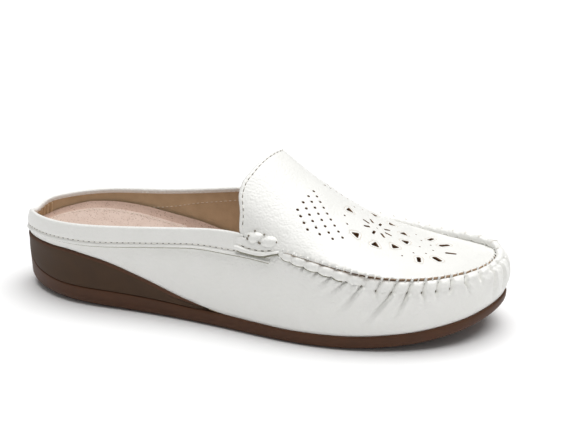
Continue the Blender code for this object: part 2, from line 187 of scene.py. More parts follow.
# %% The sole's edge, the wall and the vamp
def unit(vectors):
    """Vectors scaled to length 1."""
    return vectors / np.linalg.norm(vectors, axis=-1, keepdims=True)


def level(name, x):
    """Height of one of the sole's lines at x."""
    return smooth(LEVELS[:, 0], LEVELS[:, LEVEL_NAMES.index(name)], x)


def sole_edge(walk, inset=0.0):
    """Plan of the sole's edge, moved inwards by inset, with the way in and the ribs' numbers."""
    ribs = closed_curve(RIB_KNOTS, RIB_ROWS, walk)
    along = closed_curve(RIB_KNOTS, RIB_ROWS, walk + 1e-4)[:, :2] - ribs[:, :2]
    inward = unit(np.c_[-along[:, 1], along[:, 0]])
    return ribs[:, :2] + inward * np.broadcast_to(inset, len(inward))[:, None], inward, ribs


def wall(walk, climb):
    """The wall's outside: walk goes round the shoe, climb from the sole to the top edge."""
    foot, inward, ribs = sole_edge(walk, FEATHER_INSET)
    roundness, swell = ribs[:, 5], ribs[:, 6]
    start = np.c_[foot, level("feather", foot[:, 0]) + GAP]
    angle = np.clip(climb, 0, 1.2) * pi / 2
    across = (1 - roundness) * climb + roundness * (1 - np.cos(angle))
    up = (1 - roundness) * climb + roundness * np.sin(angle)
    point = start + (ribs[:, 2:5] - start) * np.c_[across, across, up]
    point[:, :2] -= inward * (swell * np.sin(pi * np.clip(climb, 0, 1)))[:, None]
    behind = np.exp(-((walk - np.round(walk)) / 0.016) ** 2) * np.clip(climb, 0, 1) ** 2
    return point + np.stack([HEEL_PULL * behind, 0 * behind, -HEEL_DIP * behind], axis=1)


def wall_top(walk):
    """The wall's top edge."""
    return wall(walk, np.ones_like(walk))


def wall_normal(walk, climb):
    """Outward normal of the wall."""
    climb = np.clip(climb, 0.005, 0.995)
    along = wall(walk + 1e-3, climb) - wall(walk - 1e-3, climb)
    return unit(np.cross(along, wall(walk, climb + 5e-3) - wall(walk, climb - 5e-3)))


def vamp(forward, swing):
    """The vamp's outside: forward runs from throat to toe, swing from lateral to medial seam."""
    walk = CORNER + forward * (0.5 - CORNER)
    lateral, medial = wall_top(walk), wall_top(1 - walk)
    point = lateral + (medial - lateral) * ((np.sin(swing * pi / 2) + 1) / 2)[:, None]
    rise, square = read_table(VAMP, point[:, 0])
    point[:, 2] += rise * np.abs(np.cos(swing * pi / 2)) ** (2 * square)
    fade = np.clip(1 - forward / THROAT_FADE, 0, 1) ** 2
    point[:, 0] += fade * read_table(THROAT, swing)[0]
    return point


def vamp_normal(forward, swing):
    """Outward normal of the vamp."""
    forward, swing = np.clip(forward, 0.002, 0.975), np.clip(swing, -0.985, 0.985)
    along = vamp(forward + 2e-3, swing) - vamp(forward - 2e-3, swing)
    return unit(np.cross(along, vamp(forward, swing + 4e-3) - vamp(forward, swing - 4e-3)))


def place(point):
    """From the tables' millimetres to the frame's metres."""
    return (np.asarray(point) - (SOLE_LENGTH / 2, CENTRE_Y, 0.0)) * MM


print("wall top at the toe", place(wall_top(np.array([0.5])))[0].round(4))

# %% [markdown]
# ## Light and floor
# The shoe stands on a seamless white table in a light tent with one large soft box overhead. A
# white world does the tent, one wide distant lamp the soft box, and the Standard view keeps
# white leather white. The floor is matt, so it only takes the contact shadow.

# %% Colours and nodes
def linear(colour):
    """Scene-linear RGBA from an sRGB hex colour."""
    srgb = [int(colour[i:i + 2], 16) / 255 for i in (1, 3, 5)]
    return (*(v / 12.92 if v <= 0.04045 else ((v + 0.055) / 1.055) ** 2.4 for v in srgb), 1.0)


def add_node(tree, kind, sockets=(), **settings):
    """Adds a node: settings are its properties, sockets its inputs, each a value or a socket to link."""
    node = tree.nodes.new(kind)
    for name, value in settings.items():
        setattr(node, name, value)
    for key, value in dict(sockets).items():
        if isinstance(value, bpy.types.NodeSocket):
            tree.links.new(value, node.inputs[key])
        else:
            node.inputs[key].default_value = value
    return node


print("white is", linear("#ffffff"))

# %% World, soft box and floor
TENT_LIGHT = 0.25
FLOOR = 4                  # radius in metres
BOX_TOWARDS, BOX_STRENGTH, BOX_WIDTH = (0.12, 0.13, 1.0), 3.0, radians(60)
world = bpy.data.worlds.new("light_tent")
scene.world = world
world.use_nodes = True
sky = world.node_tree
sky.nodes.clear()
seen = add_node(sky, "ShaderNodeLightPath")
tent = add_node(sky, "ShaderNodeBackground", {"Color": (1, 1, 1, 1), "Strength": TENT_LIGHT})
paper = add_node(sky, "ShaderNodeBackground", {"Color": (1, 1, 1, 1), "Strength": 1.0})
either = add_node(sky, "ShaderNodeMixShader",
                  {0: seen.outputs["Is Camera Ray"], 1: tent.outputs[0], 2: paper.outputs[0]})
add_node(sky, "ShaderNodeOutputWorld", {"Surface": either.outputs[0]})

lamp = bpy.data.lights.new("overhead_box", "SUN")
lamp.energy, lamp.angle = BOX_STRENGTH, BOX_WIDTH
soft_box = bpy.data.objects.new("overhead_box", lamp)
scene.collection.objects.link(soft_box)
soft_box.rotation_euler = Vector(BOX_TOWARDS).to_track_quat("Z", "Y").to_euler()
scene.view_settings.view_transform = "Standard"


def new_finish(name, colour, roughness, ior=1.45):
    """A material with its shader's base values set, and its node tree."""
    finish = bpy.data.materials.new(name)
    finish.use_nodes = True
    inputs = finish.node_tree.nodes["Principled BSDF"].inputs
    inputs["Base Color"].default_value = finish.diffuse_color = linear(colour)
    inputs["Roughness"].default_value, inputs["IOR"].default_value = roughness, ior
    return finish, finish.node_tree


table_paint = new_finish("matt_white_table", "#fbfbfb", 0.9, 1.5)[0]
floor_mesh = bpy.data.meshes.new("floor")
disc = [(FLOOR * cos(a), FLOOR * sin(a), 0) for a in np.linspace(0, 2 * pi, 64, endpoint=False)]
floor_mesh.from_pydata(disc, [], [list(range(64))])
floor_mesh.materials.append(table_paint)
floor = bpy.data.objects.new("floor", floor_mesh)
scene.collection.objects.link(floor)
print("tent", TENT_LIGHT, "and one soft box")

# %% [markdown]
# ## Materials
# Each finish starts from what the real one is, but for a few that paint shadow or a highlight. Patterns
# read Object coordinates, which are metres here, so a pattern's scale is 1 over its size. Bumps carry
# what is too fine to model: the milled grain of the white leather, the pores of the lining, the skin of moulded rubber.

# %% Parts that the finishes share
def pattern(tree, kind, size, **sockets):
    """A texture of one kind, its features this many millimetres wide, on Object coordinates."""
    where = add_node(tree, "ShaderNodeTexCoord").outputs["Object"]
    return add_node(tree, "ShaderNodeTex" + kind, {"Vector": where, "Scale": 1 / (size * MM), **sockets})


def mixed(tree, share, first, second):
    """One colour socket between two colours, each a hex or a socket."""
    first, second = (linear(colour) if isinstance(colour, str) else colour for colour in (first, second))
    return add_node(tree, "ShaderNodeMix", {0: share, 6: first, 7: second}, data_type="RGBA").outputs[2]


def bump(tree, height, strength, distance, under=None, **settings):
    """The normal socket of a bump over another, with its distance in millimetres."""
    sockets = {"Height": height, "Strength": strength, "Distance": distance * MM}
    if under:
        sockets["Normal"] = under
    return add_node(tree, "ShaderNodeBump", sockets, **settings).outputs[0]


def wire(finish, **sockets):
    """Links sockets into the finish's shader, by the names of its inputs."""
    tree = finish.node_tree
    for name, socket in sockets.items():
        tree.links.new(socket, tree.nodes["Principled BSDF"].inputs[name])


def fibrous(name, colour, roughness, size, detail, dark, pale, relief):
    """A matt finish whose colour wanders between two: cut fibres, or a line of shadow."""
    finish, tree = new_finish(name, colour, roughness)
    cloud = pattern(tree, "Noise", size, Detail=detail).outputs["Fac"]
    wire(finish, **{"Base Color": mixed(tree, cloud, dark, pale)})
    if relief:
        wire(finish, Normal=bump(tree, cloud, relief, 0.1))
    return finish


print("pattern parts ready")

# %% White grained leather
# Drum-dyed white cowhide with a thin resin top coat: smooth to the hand, milled to a soft pebble,
# so broad highlights break up into small soft specks.
GRAIN = 1.05               # milled pebble grain is about 0.8 mm; drawn a little coarser so it shows
white_leather, tree = new_finish("white_milled_leather", "#f3f2f0", 0.42, 1.5)
stain = pattern(tree, "Noise", 14, Detail=3.0).outputs["Fac"]
waves = pattern(tree, "Noise", 3.5)
warp = add_node(tree, "ShaderNodeMix", data_type="VECTOR", sockets={
    0: 0.0012, 4: waves.inputs["Vector"].links[0].from_socket, 5: waves.outputs["Color"]})
pebble = pattern(tree, "Voronoi", GRAIN, Vector=warp.outputs[1])
pebble.feature = "SMOOTH_F1"
shape = add_node(tree, "ShaderNodeMath", {0: pebble.outputs["Distance"], 1: 1.6}, operation="POWER")
skin = bump(tree, shape.outputs[0], 0.6, 0.38, invert=True)
gloss = add_node(tree, "ShaderNodeMapRange", {"Value": stain, 3: 0.3, 4: 0.44})
wire(white_leather, Roughness=gloss.outputs[0], Normal=bump(tree, waves.outputs["Fac"], 0.25, 0.6, skin),
     **{"Base Color": mixed(tree, stain, "#f1f1ec", "#f8f7f4")})
coat = tree.nodes["Principled BSDF"].inputs
coat["Coat Weight"].default_value, coat["Coat Roughness"].default_value = 0.12, 0.3
print("grain", GRAIN)

# %% Raw edges, shadows, lining, insole and thread
# Tan fibres where the leather is cut, darker where it is punched; painted shadow for a needle's hole
# and under a turned edge; the line that a cold tool leaves round a petal, partly painted shade.
raw_edge, punched_edge, needle_hole_shade, edge_shadow, engraved = (fibrous(*row) for row in (
    ("raw_cut_leather_edge", "#a5866b", 0.85, 0.35, 4.0, "#a08468", "#ccb095", 0.5),
    ("punched_leather_edge", "#8b6a4d", 0.8, 0.4, 3.0, "#7a5a3e", "#a3815f", 0.0),
    ("painted_needle_hole_shadow", "#7d766a", 0.9, 1.2, 2.0, "#6c6559", "#918a7d", 0.0),
    ("turned_edge_shadow", "#8f8d7c", 0.8, 1.5, 2.0, "#7f7d6d", "#a3a191", 0.0),
    ("engraved_line_tone_and_painted_shade", "#e0d2be", 0.6, 1.0, 2.0, "#d2c4b0", "#eadfce", 0.0),
))

# Tan goatskin lining, glazed lightly: small pores and a mild mottle.
tan_lining, tree = new_finish("tan_goatskin_lining", "#b3987c", 0.6, 1.48)
mottle = pattern(tree, "Noise", 6, Detail=5.0).outputs["Fac"]
pores = pattern(tree, "Voronoi", 0.9).outputs["Distance"]
wire(tan_lining, Normal=bump(tree, pores, 0.25, 0.15), **{"Base Color": mixed(tree, mottle, "#c4a884", "#e3caa8")})

PORE = 1.1                 # follicle spacing of pigskin


def pigskin(name, pale, deep, speck):
    """Natural pigskin in a given tone: pinkish beige, with dark follicles in loose groups."""
    finish, tree = new_finish(name, pale, 0.68, 1.46)
    mottle = pattern(tree, "Noise", 5, Detail=6.0).outputs["Fac"]
    follicles = pattern(tree, "Voronoi", PORE).outputs["Distance"]
    spot = add_node(tree, "ShaderNodeMapRange", {"Value": follicles, 1: 0.15, 2: 0.34, 3: 1.0, 4: 0.0})
    cluster = pattern(tree, "Noise", 4).outputs["Fac"]
    many = add_node(tree, "ShaderNodeMapRange", {"Value": cluster, 1: 0.34, 2: 0.54})
    amount = add_node(tree, "ShaderNodeMath", {0: spot.outputs[0], 1: many.outputs[0]}, operation="MULTIPLY")
    dotted = mixed(tree, amount.outputs[0], mixed(tree, mottle, deep, pale), speck)
    wire(finish, Normal=bump(tree, follicles, 0.35, 0.2), **{"Base Color": dotted})
    return finish


insole_skin = pigskin("pigskin_insole", "#c8ac9c", "#b39686", "#8a6e60")
# The heel pad takes a paler copy of the insole's pigskin: painted light, for the light that falls on the raised pad.
pad_skin_painted_lighter = pigskin("pigskin_heel_pad_painted_lighter", "#d3bfb3", "#c0a89a", "#93796b")


def thread(name, colour, roughness):
    """Waxed polyester thread with its twist as a bump."""
    finish, tree = new_finish(name, colour, roughness, 1.5)
    twist = pattern(tree, "Wave", 0.9, Distortion=2.0).outputs["Fac"]
    wire(finish, Normal=bump(tree, twist, 0.3, 0.1))
    return finish


white_thread = thread("waxed_white_thread", "#f4f1ea", 0.5)
cream_thread = thread("cream_lining_thread", "#e6d8c6", 0.6)
print(len(bpy.data.materials), "materials so far")

# %% Moulded rubber for the outsole and the wedge
def moulded_rubber(name, colour, dark, roughness, texture):
    """Moulded TPR or EVA: matt, slightly blotchy, with the fine skin of its mould."""
    finish, tree = new_finish(name, colour, roughness, 1.3)
    cloud = pattern(tree, "Noise", 9, Detail=6.0).outputs["Fac"]
    mould = pattern(tree, "Noise", texture, Detail=3.0).outputs["Fac"]
    wear = add_node(tree, "ShaderNodeMapRange", {"Value": cloud, 3: roughness - 0.08, 4: roughness + 0.1})
    wire(finish, Roughness=wear.outputs[0], Normal=bump(tree, mould, 0.35, 0.15),
         **{"Base Color": mixed(tree, cloud, dark, colour)})
    return finish


wedge_foam = moulded_rubber("moulded_brown_wedge_foam", "#513c2b", "#402f21", 0.62, 0.5)
# A paler, redder copy of the rubber for the wedge's top rim: a painted highlight where the ledge catches the light.
wedge_rim_highlight = moulded_rubber("painted_highlight_wedge_top_edge", "#624333", "#51382a", 0.7, 0.4)
sole_rubber = moulded_rubber("moulded_brown_sole_rubber", "#5a3a27", "#482e1e", 0.48, 0.6)
print("rubber ready")

# %% [markdown]
# ## Mesh helpers
# Nearly every piece is a skin over cross-sections, so one loft makes them all. A closed shell has
# no open border, so its normals can be recalculated safely once the doubles are merged.

# %% Lofts and finished pieces
def seal(mesh):
    """Merges doubles and turns every face outwards."""
    shell = bmesh.new()
    shell.from_mesh(mesh)
    bmesh.ops.remove_doubles(shell, verts=shell.verts, dist=1e-7)
    bmesh.ops.recalc_face_normals(shell, faces=shell.faces)
    shell.to_mesh(mesh)
    shell.free()


def seat(name, mesh, stands_for=None):
    """The piece of a mesh, riding on the body, in place of a CAD solid."""
    piece = bpy.data.objects.new(name, mesh)
    scene.collection.objects.link(piece)
    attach(piece, "root")
    if stands_for:
        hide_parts(stands_for)
    print(name, len(mesh.polygons), "faces")
    return piece


def make_piece(name, points, faces, finishes, slot, stands_for=None, marks=None):
    """A smooth closed piece from millimetre points, with a finish for each face."""
    mesh = bpy.data.meshes.new(name)
    mesh.from_pydata(place(points).tolist(), [], [list(map(int, face)) for face in faces])
    for finish in finishes:
        mesh.materials.append(finish)
    if marks is not None:
        mesh.polygons.foreach_set("material_index", np.asarray(marks, np.int32))
    mesh.polygons.foreach_set("use_smooth", np.ones(len(faces), bool))
    seal(mesh)
    return seat(name, mesh, stands_for)


def loft(sections, closed=False):
    """Quads over cross-sections, each a closed loop of points; open ends get a ladder of rungs."""
    count, around = sections.shape[:2]
    index = np.arange(count * around).reshape(count, around)
    here, ahead = (index, np.roll(index, -1, axis=0)) if closed else (index[:-1], index[1:])
    quads = np.stack([here, ahead, np.roll(ahead, -1, axis=1), np.roll(here, -1, axis=1)], axis=-1)
    faces = quads.reshape(-1, 4).tolist()
    if not closed:
        for end in (index[0], index[-1]):
            faces += [[end[i], end[i + 1], end[around - 2 - i], end[around - 1 - i]] for i in range(around // 2 - 1)]
    return sections.reshape(-1, 3), faces


def join(*parts):
    """Several lofts as one list of points and faces."""
    points, faces, start = [], [], 0
    for part_points, part_faces in parts:
        points.append(part_points)
        faces += [[corner + start for corner in face] for face in part_faces]
        start += len(part_points)
    return np.vstack(points), faces


def ease(low, high, value):
    """0 below low, 1 above high and smooth between them."""
    share = np.clip((np.asarray(value, float) - low) / (high - low), 0, 1)
    return share * share * (3 - 2 * share)


def gauss(value, width):
    """A bell of height 1."""
    return np.exp(-(value / width) ** 2)


print("loft ready")

# %% [markdown]
# ## Lengths along the seam
# The maker measures along the seam, from each throat corner to the toe tip: gathers, lace and
# stitches are all spaced there. The wall's top edge is measured once and gives a length from the
# lateral corner, below zero along the collar.

# %% Measure the rim and the seam
RIM_WALK = np.linspace(0, 1, 4801)
RIM_LENGTH = np.r_[0, np.cumsum(np.linalg.norm(np.diff(wall_top(RIM_WALK), axis=0), axis=1))]
CORNER_LENGTH, END_LENGTH = np.interp((CORNER, 1 - CORNER), RIM_WALK, RIM_LENGTH)
SEAM_LENGTH = END_LENGTH - CORNER_LENGTH


def walk_at(length):
    """Walk at a length along the seam from the lateral corner."""
    return np.interp(np.mod(np.asarray(length) + CORNER_LENGTH, RIM_LENGTH[-1]), RIM_LENGTH, RIM_WALK)


def length_at(walk):
    """Length along the seam from the lateral corner; negative along the lateral collar."""
    return np.interp(np.mod(walk, 1.0), RIM_WALK, RIM_LENGTH) - CORNER_LENGTH


def from_corner(walk):
    """Length along the seam from the nearer throat corner."""
    length = length_at(walk)
    return np.where(np.mod(walk, 1.0) > 0.5, SEAM_LENGTH - length, length)


print("the rim is", round(RIM_LENGTH[-1], 1), "mm long")

# %% Measure the wall from its top edge down
def bilinear(table, row, column):
    """A table of numbers read between its rows and columns."""
    i, j = (np.clip(at.astype(int), 0, many - 2) for at, many in zip((row, column), table.shape))
    f, g = row - i, column - j
    this_row = (1 - g) * table[i, j] + g * table[i, j + 1]
    next_row = (1 - g) * table[i + 1, j] + g * table[i + 1, j + 1]
    return (1 - f) * this_row + f * next_row


WALK_ROWS, CLIMB_STEPS = 481, 121
walks, climbs = np.linspace(0, 1, WALK_ROWS), np.linspace(0, 1, CLIMB_STEPS)
surface = np.stack([wall(walks, np.full(WALK_ROWS, climb)) for climb in climbs], axis=1)
steps = np.linalg.norm(np.diff(surface, axis=1), axis=2)[:, ::-1]
from_top = np.c_[np.zeros(WALK_ROWS), np.cumsum(steps, axis=1)]
CLIMB_AT = np.array([np.interp(climbs * row[-1], row, climbs[::-1]) for row in from_top])


def wall_height(walk):
    """Length over the leather from the wall's top edge down to its foot."""
    return np.interp(np.mod(walk, 1.0), walks, from_top[:, -1])


def climb_at(walk, drop):
    """Climb of the point a drop below the top edge, measured over the leather."""
    share = drop / wall_height(walk)
    inside_wall = np.clip(share, 0, 1)
    climb = bilinear(CLIMB_AT, np.mod(walk, 1.0) * (WALK_ROWS - 1), inside_wall * (CLIMB_STEPS - 1))
    return climb - (share - inside_wall)


print("the wall is", round(wall_height(0.5), 1), "mm high at the toe")

# %% Lobes and valleys of the gathers
PITCH, FIRST_LOBE = 6.85, 29.4   # from one lobe to the next, once they are even
LOBES = np.r_[-6.0, 0.8, 7.4, 13.3, 18.6, 23.2, FIRST_LOBE + PITCH * np.arange(12), 112.2, 119.9, 126.4]
rng = np.random.default_rng(7)
LOBES[6:] += rng.uniform(-0.25, 0.25, len(LOBES) - 6)
ALL_LOBES = np.r_[LOBES, SEAM_LENGTH / 2, SEAM_LENGTH - LOBES[::-1]]
VALLEYS = (ALL_LOBES[:-1] + ALL_LOBES[1:]) / 2
VALLEYS = VALLEYS[(VALLEYS > 19.5) & (VALLEYS < SEAM_LENGTH - 19.5)]
VALLEY_REACH = np.minimum(VALLEYS, SEAM_LENGTH - VALLEYS)
HAND = np.where(VALLEYS < SEAM_LENGTH / 2, 1.0, -1.0)
SLANT, AHEAD = 0.4545, 0.53    # the lace slants back as it goes down, from a little ahead
PIT_BEHIND = 1.97              # where the slant leaves a pit, from the middle of its valley


def lace_shift(length, across):
    """How far the lace has moved along the seam: it slants back as it goes down, less towards the toe."""
    fade = np.minimum(1.0, np.abs(length - SEAM_LENGTH / 2) / 30)
    reach = np.minimum(length, SEAM_LENGTH - length)
    steep = fade * np.interp(reach, (78, 84, 90, 96, 102), (1.0, 0.55, 0.6, 0.35, 0.15))
    return steep * (AHEAD + SLANT * across) - PIT_BEHIND * (fade - steep)


def plug_lift(walk):
    """How far the plug's edge stands up on the gathered wall: most where the lace pulls it up."""
    return np.interp(length_at(walk), (0, 18, 25, 60, 75, 110, 132, 150, 180),
                     (0.8, 1.6, 2.3, 2.2, 1.6, 1.3, 0.8, 0.5, 0.6))


def lobe_bulge(length):
    """1 in the middle of a lobe and 0 in a valley."""
    phase = np.interp(length, ALL_LOBES, np.arange(len(ALL_LOBES)))
    return (np.abs(np.cos(pi * phase)) + 1e-4) ** 0.6


print(len(VALLEYS), "valleys on a seam of", round(SEAM_LENGTH, 1), "mm")

# %% [markdown]
# ## The plug
# The plug is the flat leather that closes the top of the foot. It is cut flat, punched, and only
# then sewn in, so it is made the same way here: a flat chart (a along the middle, b across) is cut
# into triangles round every hole and engraved line, and then bent over the last.
#
# The punch layout repeats a few outlines, so Geometry Nodes draws it: each point carries its
# punch's size and turn, and a unit circle is pushed out to a dot, a slot or a petal.

# %% Punch layout
# along, across, turn, width, apex, heel, flare, ringed: five petals, then the bars
BIG_PUNCHES = (
    *((along, across, turn, 1.1, 1.45, 0.9, 1.35, 1) for along, across, turn in (
        (44.3, 0.0, 0), (53.6, 16.3, -69), (63.4, 15.6, -103), (71.5, 9.3, -142), (74.7, 0.0, 180))),
    (96.7, 0.0, 0, 1.9, 1.8, 1.8, 0.0, 0),
    (92.0, 9.2, 38, 2.6, 1.5, 1.5, 0.0, 1), (84.4, 13.9, 73, 2.0, 1.5, 1.5, 0.0, 1),
)
SKEW = 0.185               # the left half's punches sit a little ahead of the right half's
FLOWER_AT, SLOT_FROM, SLOT_TO, SLOT_WIDTH = 59.8, 4.2, 7.9, 1.4
DOT_COLUMNS = (9, 8, 6, 4)
DOT_SIZE, SMALL_DOT, TINY_DOT = 1.3, 1.05, 0.95
THROAT_TO_MIDDLE = 2.1     # the throat's middle lies this far behind the line the punches are counted from


def dot_field():
    """Rows of dots that fan out beside the throat, and the single dots among the petals."""
    dots = [(26.2 + 0.1 * k + (2.85 - 0.12 * k) * i, 6.6 + 5.6 * k + (2.12 + 0.07 * k) * i, DOT_SIZE)
            for k, many in enumerate(DOT_COLUMNS) for i in range(many)]
    dots += [(44.3, 7.8, SMALL_DOT), (47.6, 12.8, SMALL_DOT)]
    dots += [(76.7, 15.0, TINY_DOT), (80.7, 8.7, TINY_DOT), (86.0, 5.6, TINY_DOT)]
    both = [(u, side * w, size) for u, w, size in dots for side in (-1, 1)]
    both += [(81.8, 0.0, TINY_DOT), (88.3, 0.0, TINY_DOT), (FLOWER_AT, 0.0, 0.8)]
    return [(u, w, 0, size / 2, 0, 0, 0) for u, w, size in both]


def long_punches():
    """Petals and bars on both sides, and the slots of the flower; each with its ring or none."""
    rows = []
    for u, w, turn, width, apex, heel, flare, ring in BIG_PUNCHES:
        for side in ((1,) if w == 0 else (-1, 1)):
            rows.append((u, side * w, side * radians(turn), width / 2, apex, heel, flare, ring))
    middle, half = (SLOT_FROM + SLOT_TO) / 2, (SLOT_TO - SLOT_FROM - SLOT_WIDTH) / 2
    for angle in np.arange(8) * pi / 4:
        rows.append((FLOWER_AT + middle * cos(angle), middle * sin(angle), angle, SLOT_WIDTH / 2, half, half, 0.0, 0))
    return rows


print(len(dot_field()), "dots and", len(long_punches()), "long punches")

# %% Geometry Nodes tree that draws punch outlines
def empty_tree(name, **inputs):
    """A geometry node tree with named inputs, each given as its socket type and default."""
    tree = bpy.data.node_groups.new(name, "GeometryNodeTree")
    tree.interface.new_socket("Geometry", in_out="INPUT", socket_type="NodeSocketGeometry")
    for label, (kind, default) in inputs.items():
        socket = tree.interface.new_socket(label, in_out="INPUT", socket_type="NodeSocket" + kind)
        if default is not None:
            socket.default_value = default
    tree.interface.new_socket("Geometry", in_out="OUTPUT", socket_type="NodeSocketGeometry")
    return tree, add_node(tree, "NodeGroupInput").outputs


def shape_node(tree, kind, sockets, **settings):
    """The first output of a geometry node."""
    return add_node(tree, "GeometryNode" + kind, sockets, **settings).outputs[0]


def attribute(tree, name, kind="FLOAT"):
    """The socket of a named attribute."""
    return add_node(tree, "GeometryNodeInputNamedAttribute", {"Name": name}, data_type=kind).outputs["Attribute"]


def maths(operation, *values):
    """The result of one maths node in the punch tree."""
    return add_node(punch_tree, "ShaderNodeMath", dict(enumerate(values)), operation=operation).outputs[0]


punch_tree, given = empty_tree("punch_outlines", Corners=("Int", 12), Grow=("Float", 0.0))
turn, radius, apex, heel, flare = (attribute(punch_tree, key) for key in ("turn", "radius", "apex", "heel", "flare"))
circle = shape_node(punch_tree, "MeshCircle", {"Vertices": given["Corners"], "Radius": 1.0})
spot = shape_node(punch_tree, "InputPosition", {})
aimed, centred = (shape_node(punch_tree, "StoreNamedAttribute", {"Geometry": geometry, "Name": label, "Value": spot},
                             data_type="FLOAT_VECTOR")
                  for geometry, label in ((circle, "aim"), (given["Geometry"], "centre")))
copies = shape_node(punch_tree, "InstanceOnPoints", {"Points": centred, "Instance": aimed})
loops = shape_node(punch_tree, "RealizeInstances", {"Geometry": copies})
aim = add_node(punch_tree, "ShaderNodeSeparateXYZ", {0: attribute(punch_tree, "aim", "FLOAT_VECTOR")}).outputs
front = maths("GREATER_THAN", aim[0], 0.35)
pushed = maths("SUBTRACT", maths("MULTIPLY", front, maths("ADD", apex, heel)), heel)
splay = maths("MULTIPLY", maths("SUBTRACT", 1.0, front), maths("MULTIPLY", maths("SIGN", aim[1]), flare))
grown = maths("ADD", radius, given["Grow"])
local = add_node(punch_tree, "ShaderNodeCombineXYZ", {0: maths("ADD", pushed, maths("MULTIPLY", grown, aim[0])),
                                                      1: maths("ADD", splay, maths("MULTIPLY", grown, aim[1]))})
turned = add_node(punch_tree, "ShaderNodeVectorRotate", {"Vector": local.outputs[0], "Angle": turn},
                  rotation_type="Z_AXIS")
moved = add_node(punch_tree, "ShaderNodeVectorMath",
                 {0: attribute(punch_tree, "centre", "FLOAT_VECTOR"), 1: turned.outputs[0]}, operation="ADD")
shaped = shape_node(punch_tree, "SetPosition", {"Geometry": loops, "Position": moved.outputs[0]})
painted = shape_node(punch_tree, "SetMaterial", {"Geometry": shaped, "Material": punched_edge})
add_node(punch_tree, "NodeGroupOutput", {"Geometry": painted})
print("punch tree has", len(punch_tree.nodes), "nodes")

# %% Run a tree on points
def run_tree(name, tree, positions, attributes, edges=(), **inputs):
    """The mesh that a tree makes of points, or lines, with attributes; its inputs are set by identifier."""
    mesh = bpy.data.meshes.new(name)
    mesh.from_pydata(np.asarray(positions, float).tolist(), [list(map(int, edge)) for edge in edges], [])
    for label, values in attributes.items():
        values = np.asarray(values, float)
        vector = values.ndim == 2
        layer = mesh.attributes.new(label, "FLOAT_VECTOR" if vector else "FLOAT", "POINT")
        layer.data.foreach_set("vector" if vector else "value", values.ravel())
    source = bpy.data.objects.new(name, mesh)
    scene.collection.objects.link(source)
    modifier = source.modifiers.new(tree.name, "NODES")
    modifier.node_group = tree
    for item in tree.interface.items_tree:
        if item.item_type == "SOCKET" and item.in_out == "INPUT" and item.name in inputs:
            modifier[item.identifier] = inputs[item.name]
    graph = bpy.context.evaluated_depsgraph_get()
    result = bpy.data.meshes.new_from_object(source.evaluated_get(graph), preserve_all_data_layers=True,
                                             depsgraph=graph)
    source.modifiers.remove(modifier)
    bpy.data.objects.remove(source)
    return result


def outlines(rows, corners, grow):
    """Punch outlines as [punch, corner, (a, b)]: columns u, w, turn, radius, apex, heel, flare."""
    rows = np.array([row[:7] for row in rows], float)
    centres = np.c_[rows[:, 0] + THROAT_TO_MIDDLE, rows[:, 1], 0 * rows[:, 0]]
    keys = dict(zip(("turn", "radius", "apex", "heel", "flare"), rows[:, 2:].T))
    mesh = run_tree("punches", punch_tree, centres, keys, Corners=corners, Grow=grow)
    flat = np.array([vertex.co[:2] for vertex in mesh.vertices]).reshape(len(rows), corners, 2)
    flat[..., 0] += SKEW * flat[..., 1]
    return flat


BEVEL = 0.14               # the punch drags the skin down this far round each hole
longs = long_punches()
dot_holes, dot_bevels = (outlines(dot_field(), 12, grow) for grow in (0.0, BEVEL))
long_holes, long_bevels = (outlines(longs, 30, grow) for grow in (0.0, BEVEL))
ring_loops = [outlines([row for row in longs if row[7]], 36, grow) for grow in (1.1, 1.2, 1.3)]
print("first petal is", np.ptp(long_holes[0], axis=0).round(2), "mm")

# %% [markdown]
# The chart needs the way from flat to bent. Along each of 140 lines across the vamp the length
# from the middle is measured, and a point of the chart looks up its line and its place on it.

# %% From the flat chart to the last
LINES = 140
STATIONS = 1 - (1 - np.linspace(0, 0.9975, LINES)) ** 1.35
SWINGS = np.linspace(-1, 1, 161)
vamp_lines = np.array([vamp(np.full(161, station), SWINGS) for station in STATIONS])
MIDDLE = np.r_[0, np.cumsum(np.linalg.norm(np.diff(vamp_lines[:, 80], axis=0), axis=1))]
reach_across = np.cumsum(np.linalg.norm(np.diff(vamp_lines, axis=1), axis=2), axis=1)
reach_across = np.c_[np.zeros(LINES), reach_across]
reach_across -= reach_across[:, 80:81]
SHARES = np.linspace(-1, 1, 241)
swing_table = np.array([np.interp(SHARES * np.where(SHARES < 0, -row[0], row[-1]), row, SWINGS)
                        for row in reach_across])


def half_width(a, side):
    """Chart width from the middle to the seam at a."""
    return np.interp(a, MIDDLE, reach_across[:, -1] if side > 0 else -reach_across[:, 0])


def chart_point(a, b, depth=0.0):
    """The point of the last at (a, b) of the chart, and its normal, sunk by depth."""
    width = np.where(b < 0, half_width(a, -1), half_width(a, 1))
    column = (np.clip(b / np.maximum(width, 1e-6), -1, 1) + 1) * 120
    swing = bilinear(swing_table, np.interp(a, MIDDLE, np.arange(float(LINES))), column)
    forward = np.interp(a, MIDDLE, STATIONS)
    normal = vamp_normal(forward, swing)
    return vamp(forward, swing) - normal * np.broadcast_to(depth, len(a))[:, None], normal


print("chart", round(MIDDLE[-1], 1), "mm long and", round(float(2 * half_width(0, 1)), 1), "wide at the throat")

# %% Cut the flat chart round its holes
CELL, CLEAR = 1.05, 0.42   # side of the small triangles, and their distance from an outline
EDGE_ROWS = (0.12, 0.38, 0.8, 1.3)   # rows that round off the folded throat edge
TOE_ROUND = 12


def border():
    """The chart's outline, from the throat's lateral corner round the toe and back."""
    toe = MIDDLE[-1] - TOE_ROUND
    a = np.r_[np.linspace(0, toe, 110), MIDDLE[-1] - TOE_ROUND * np.cos(np.linspace(0, pi / 2, 26))[1:]]
    lateral, medial = np.c_[a, -half_width(a, -1)], np.c_[a, half_width(a, 1)][::-1]
    back = np.linspace(medial[-1, 1], lateral[0, 1], 112)[1:-1]
    return np.vstack([lateral, medial, np.c_[0 * back, back]])


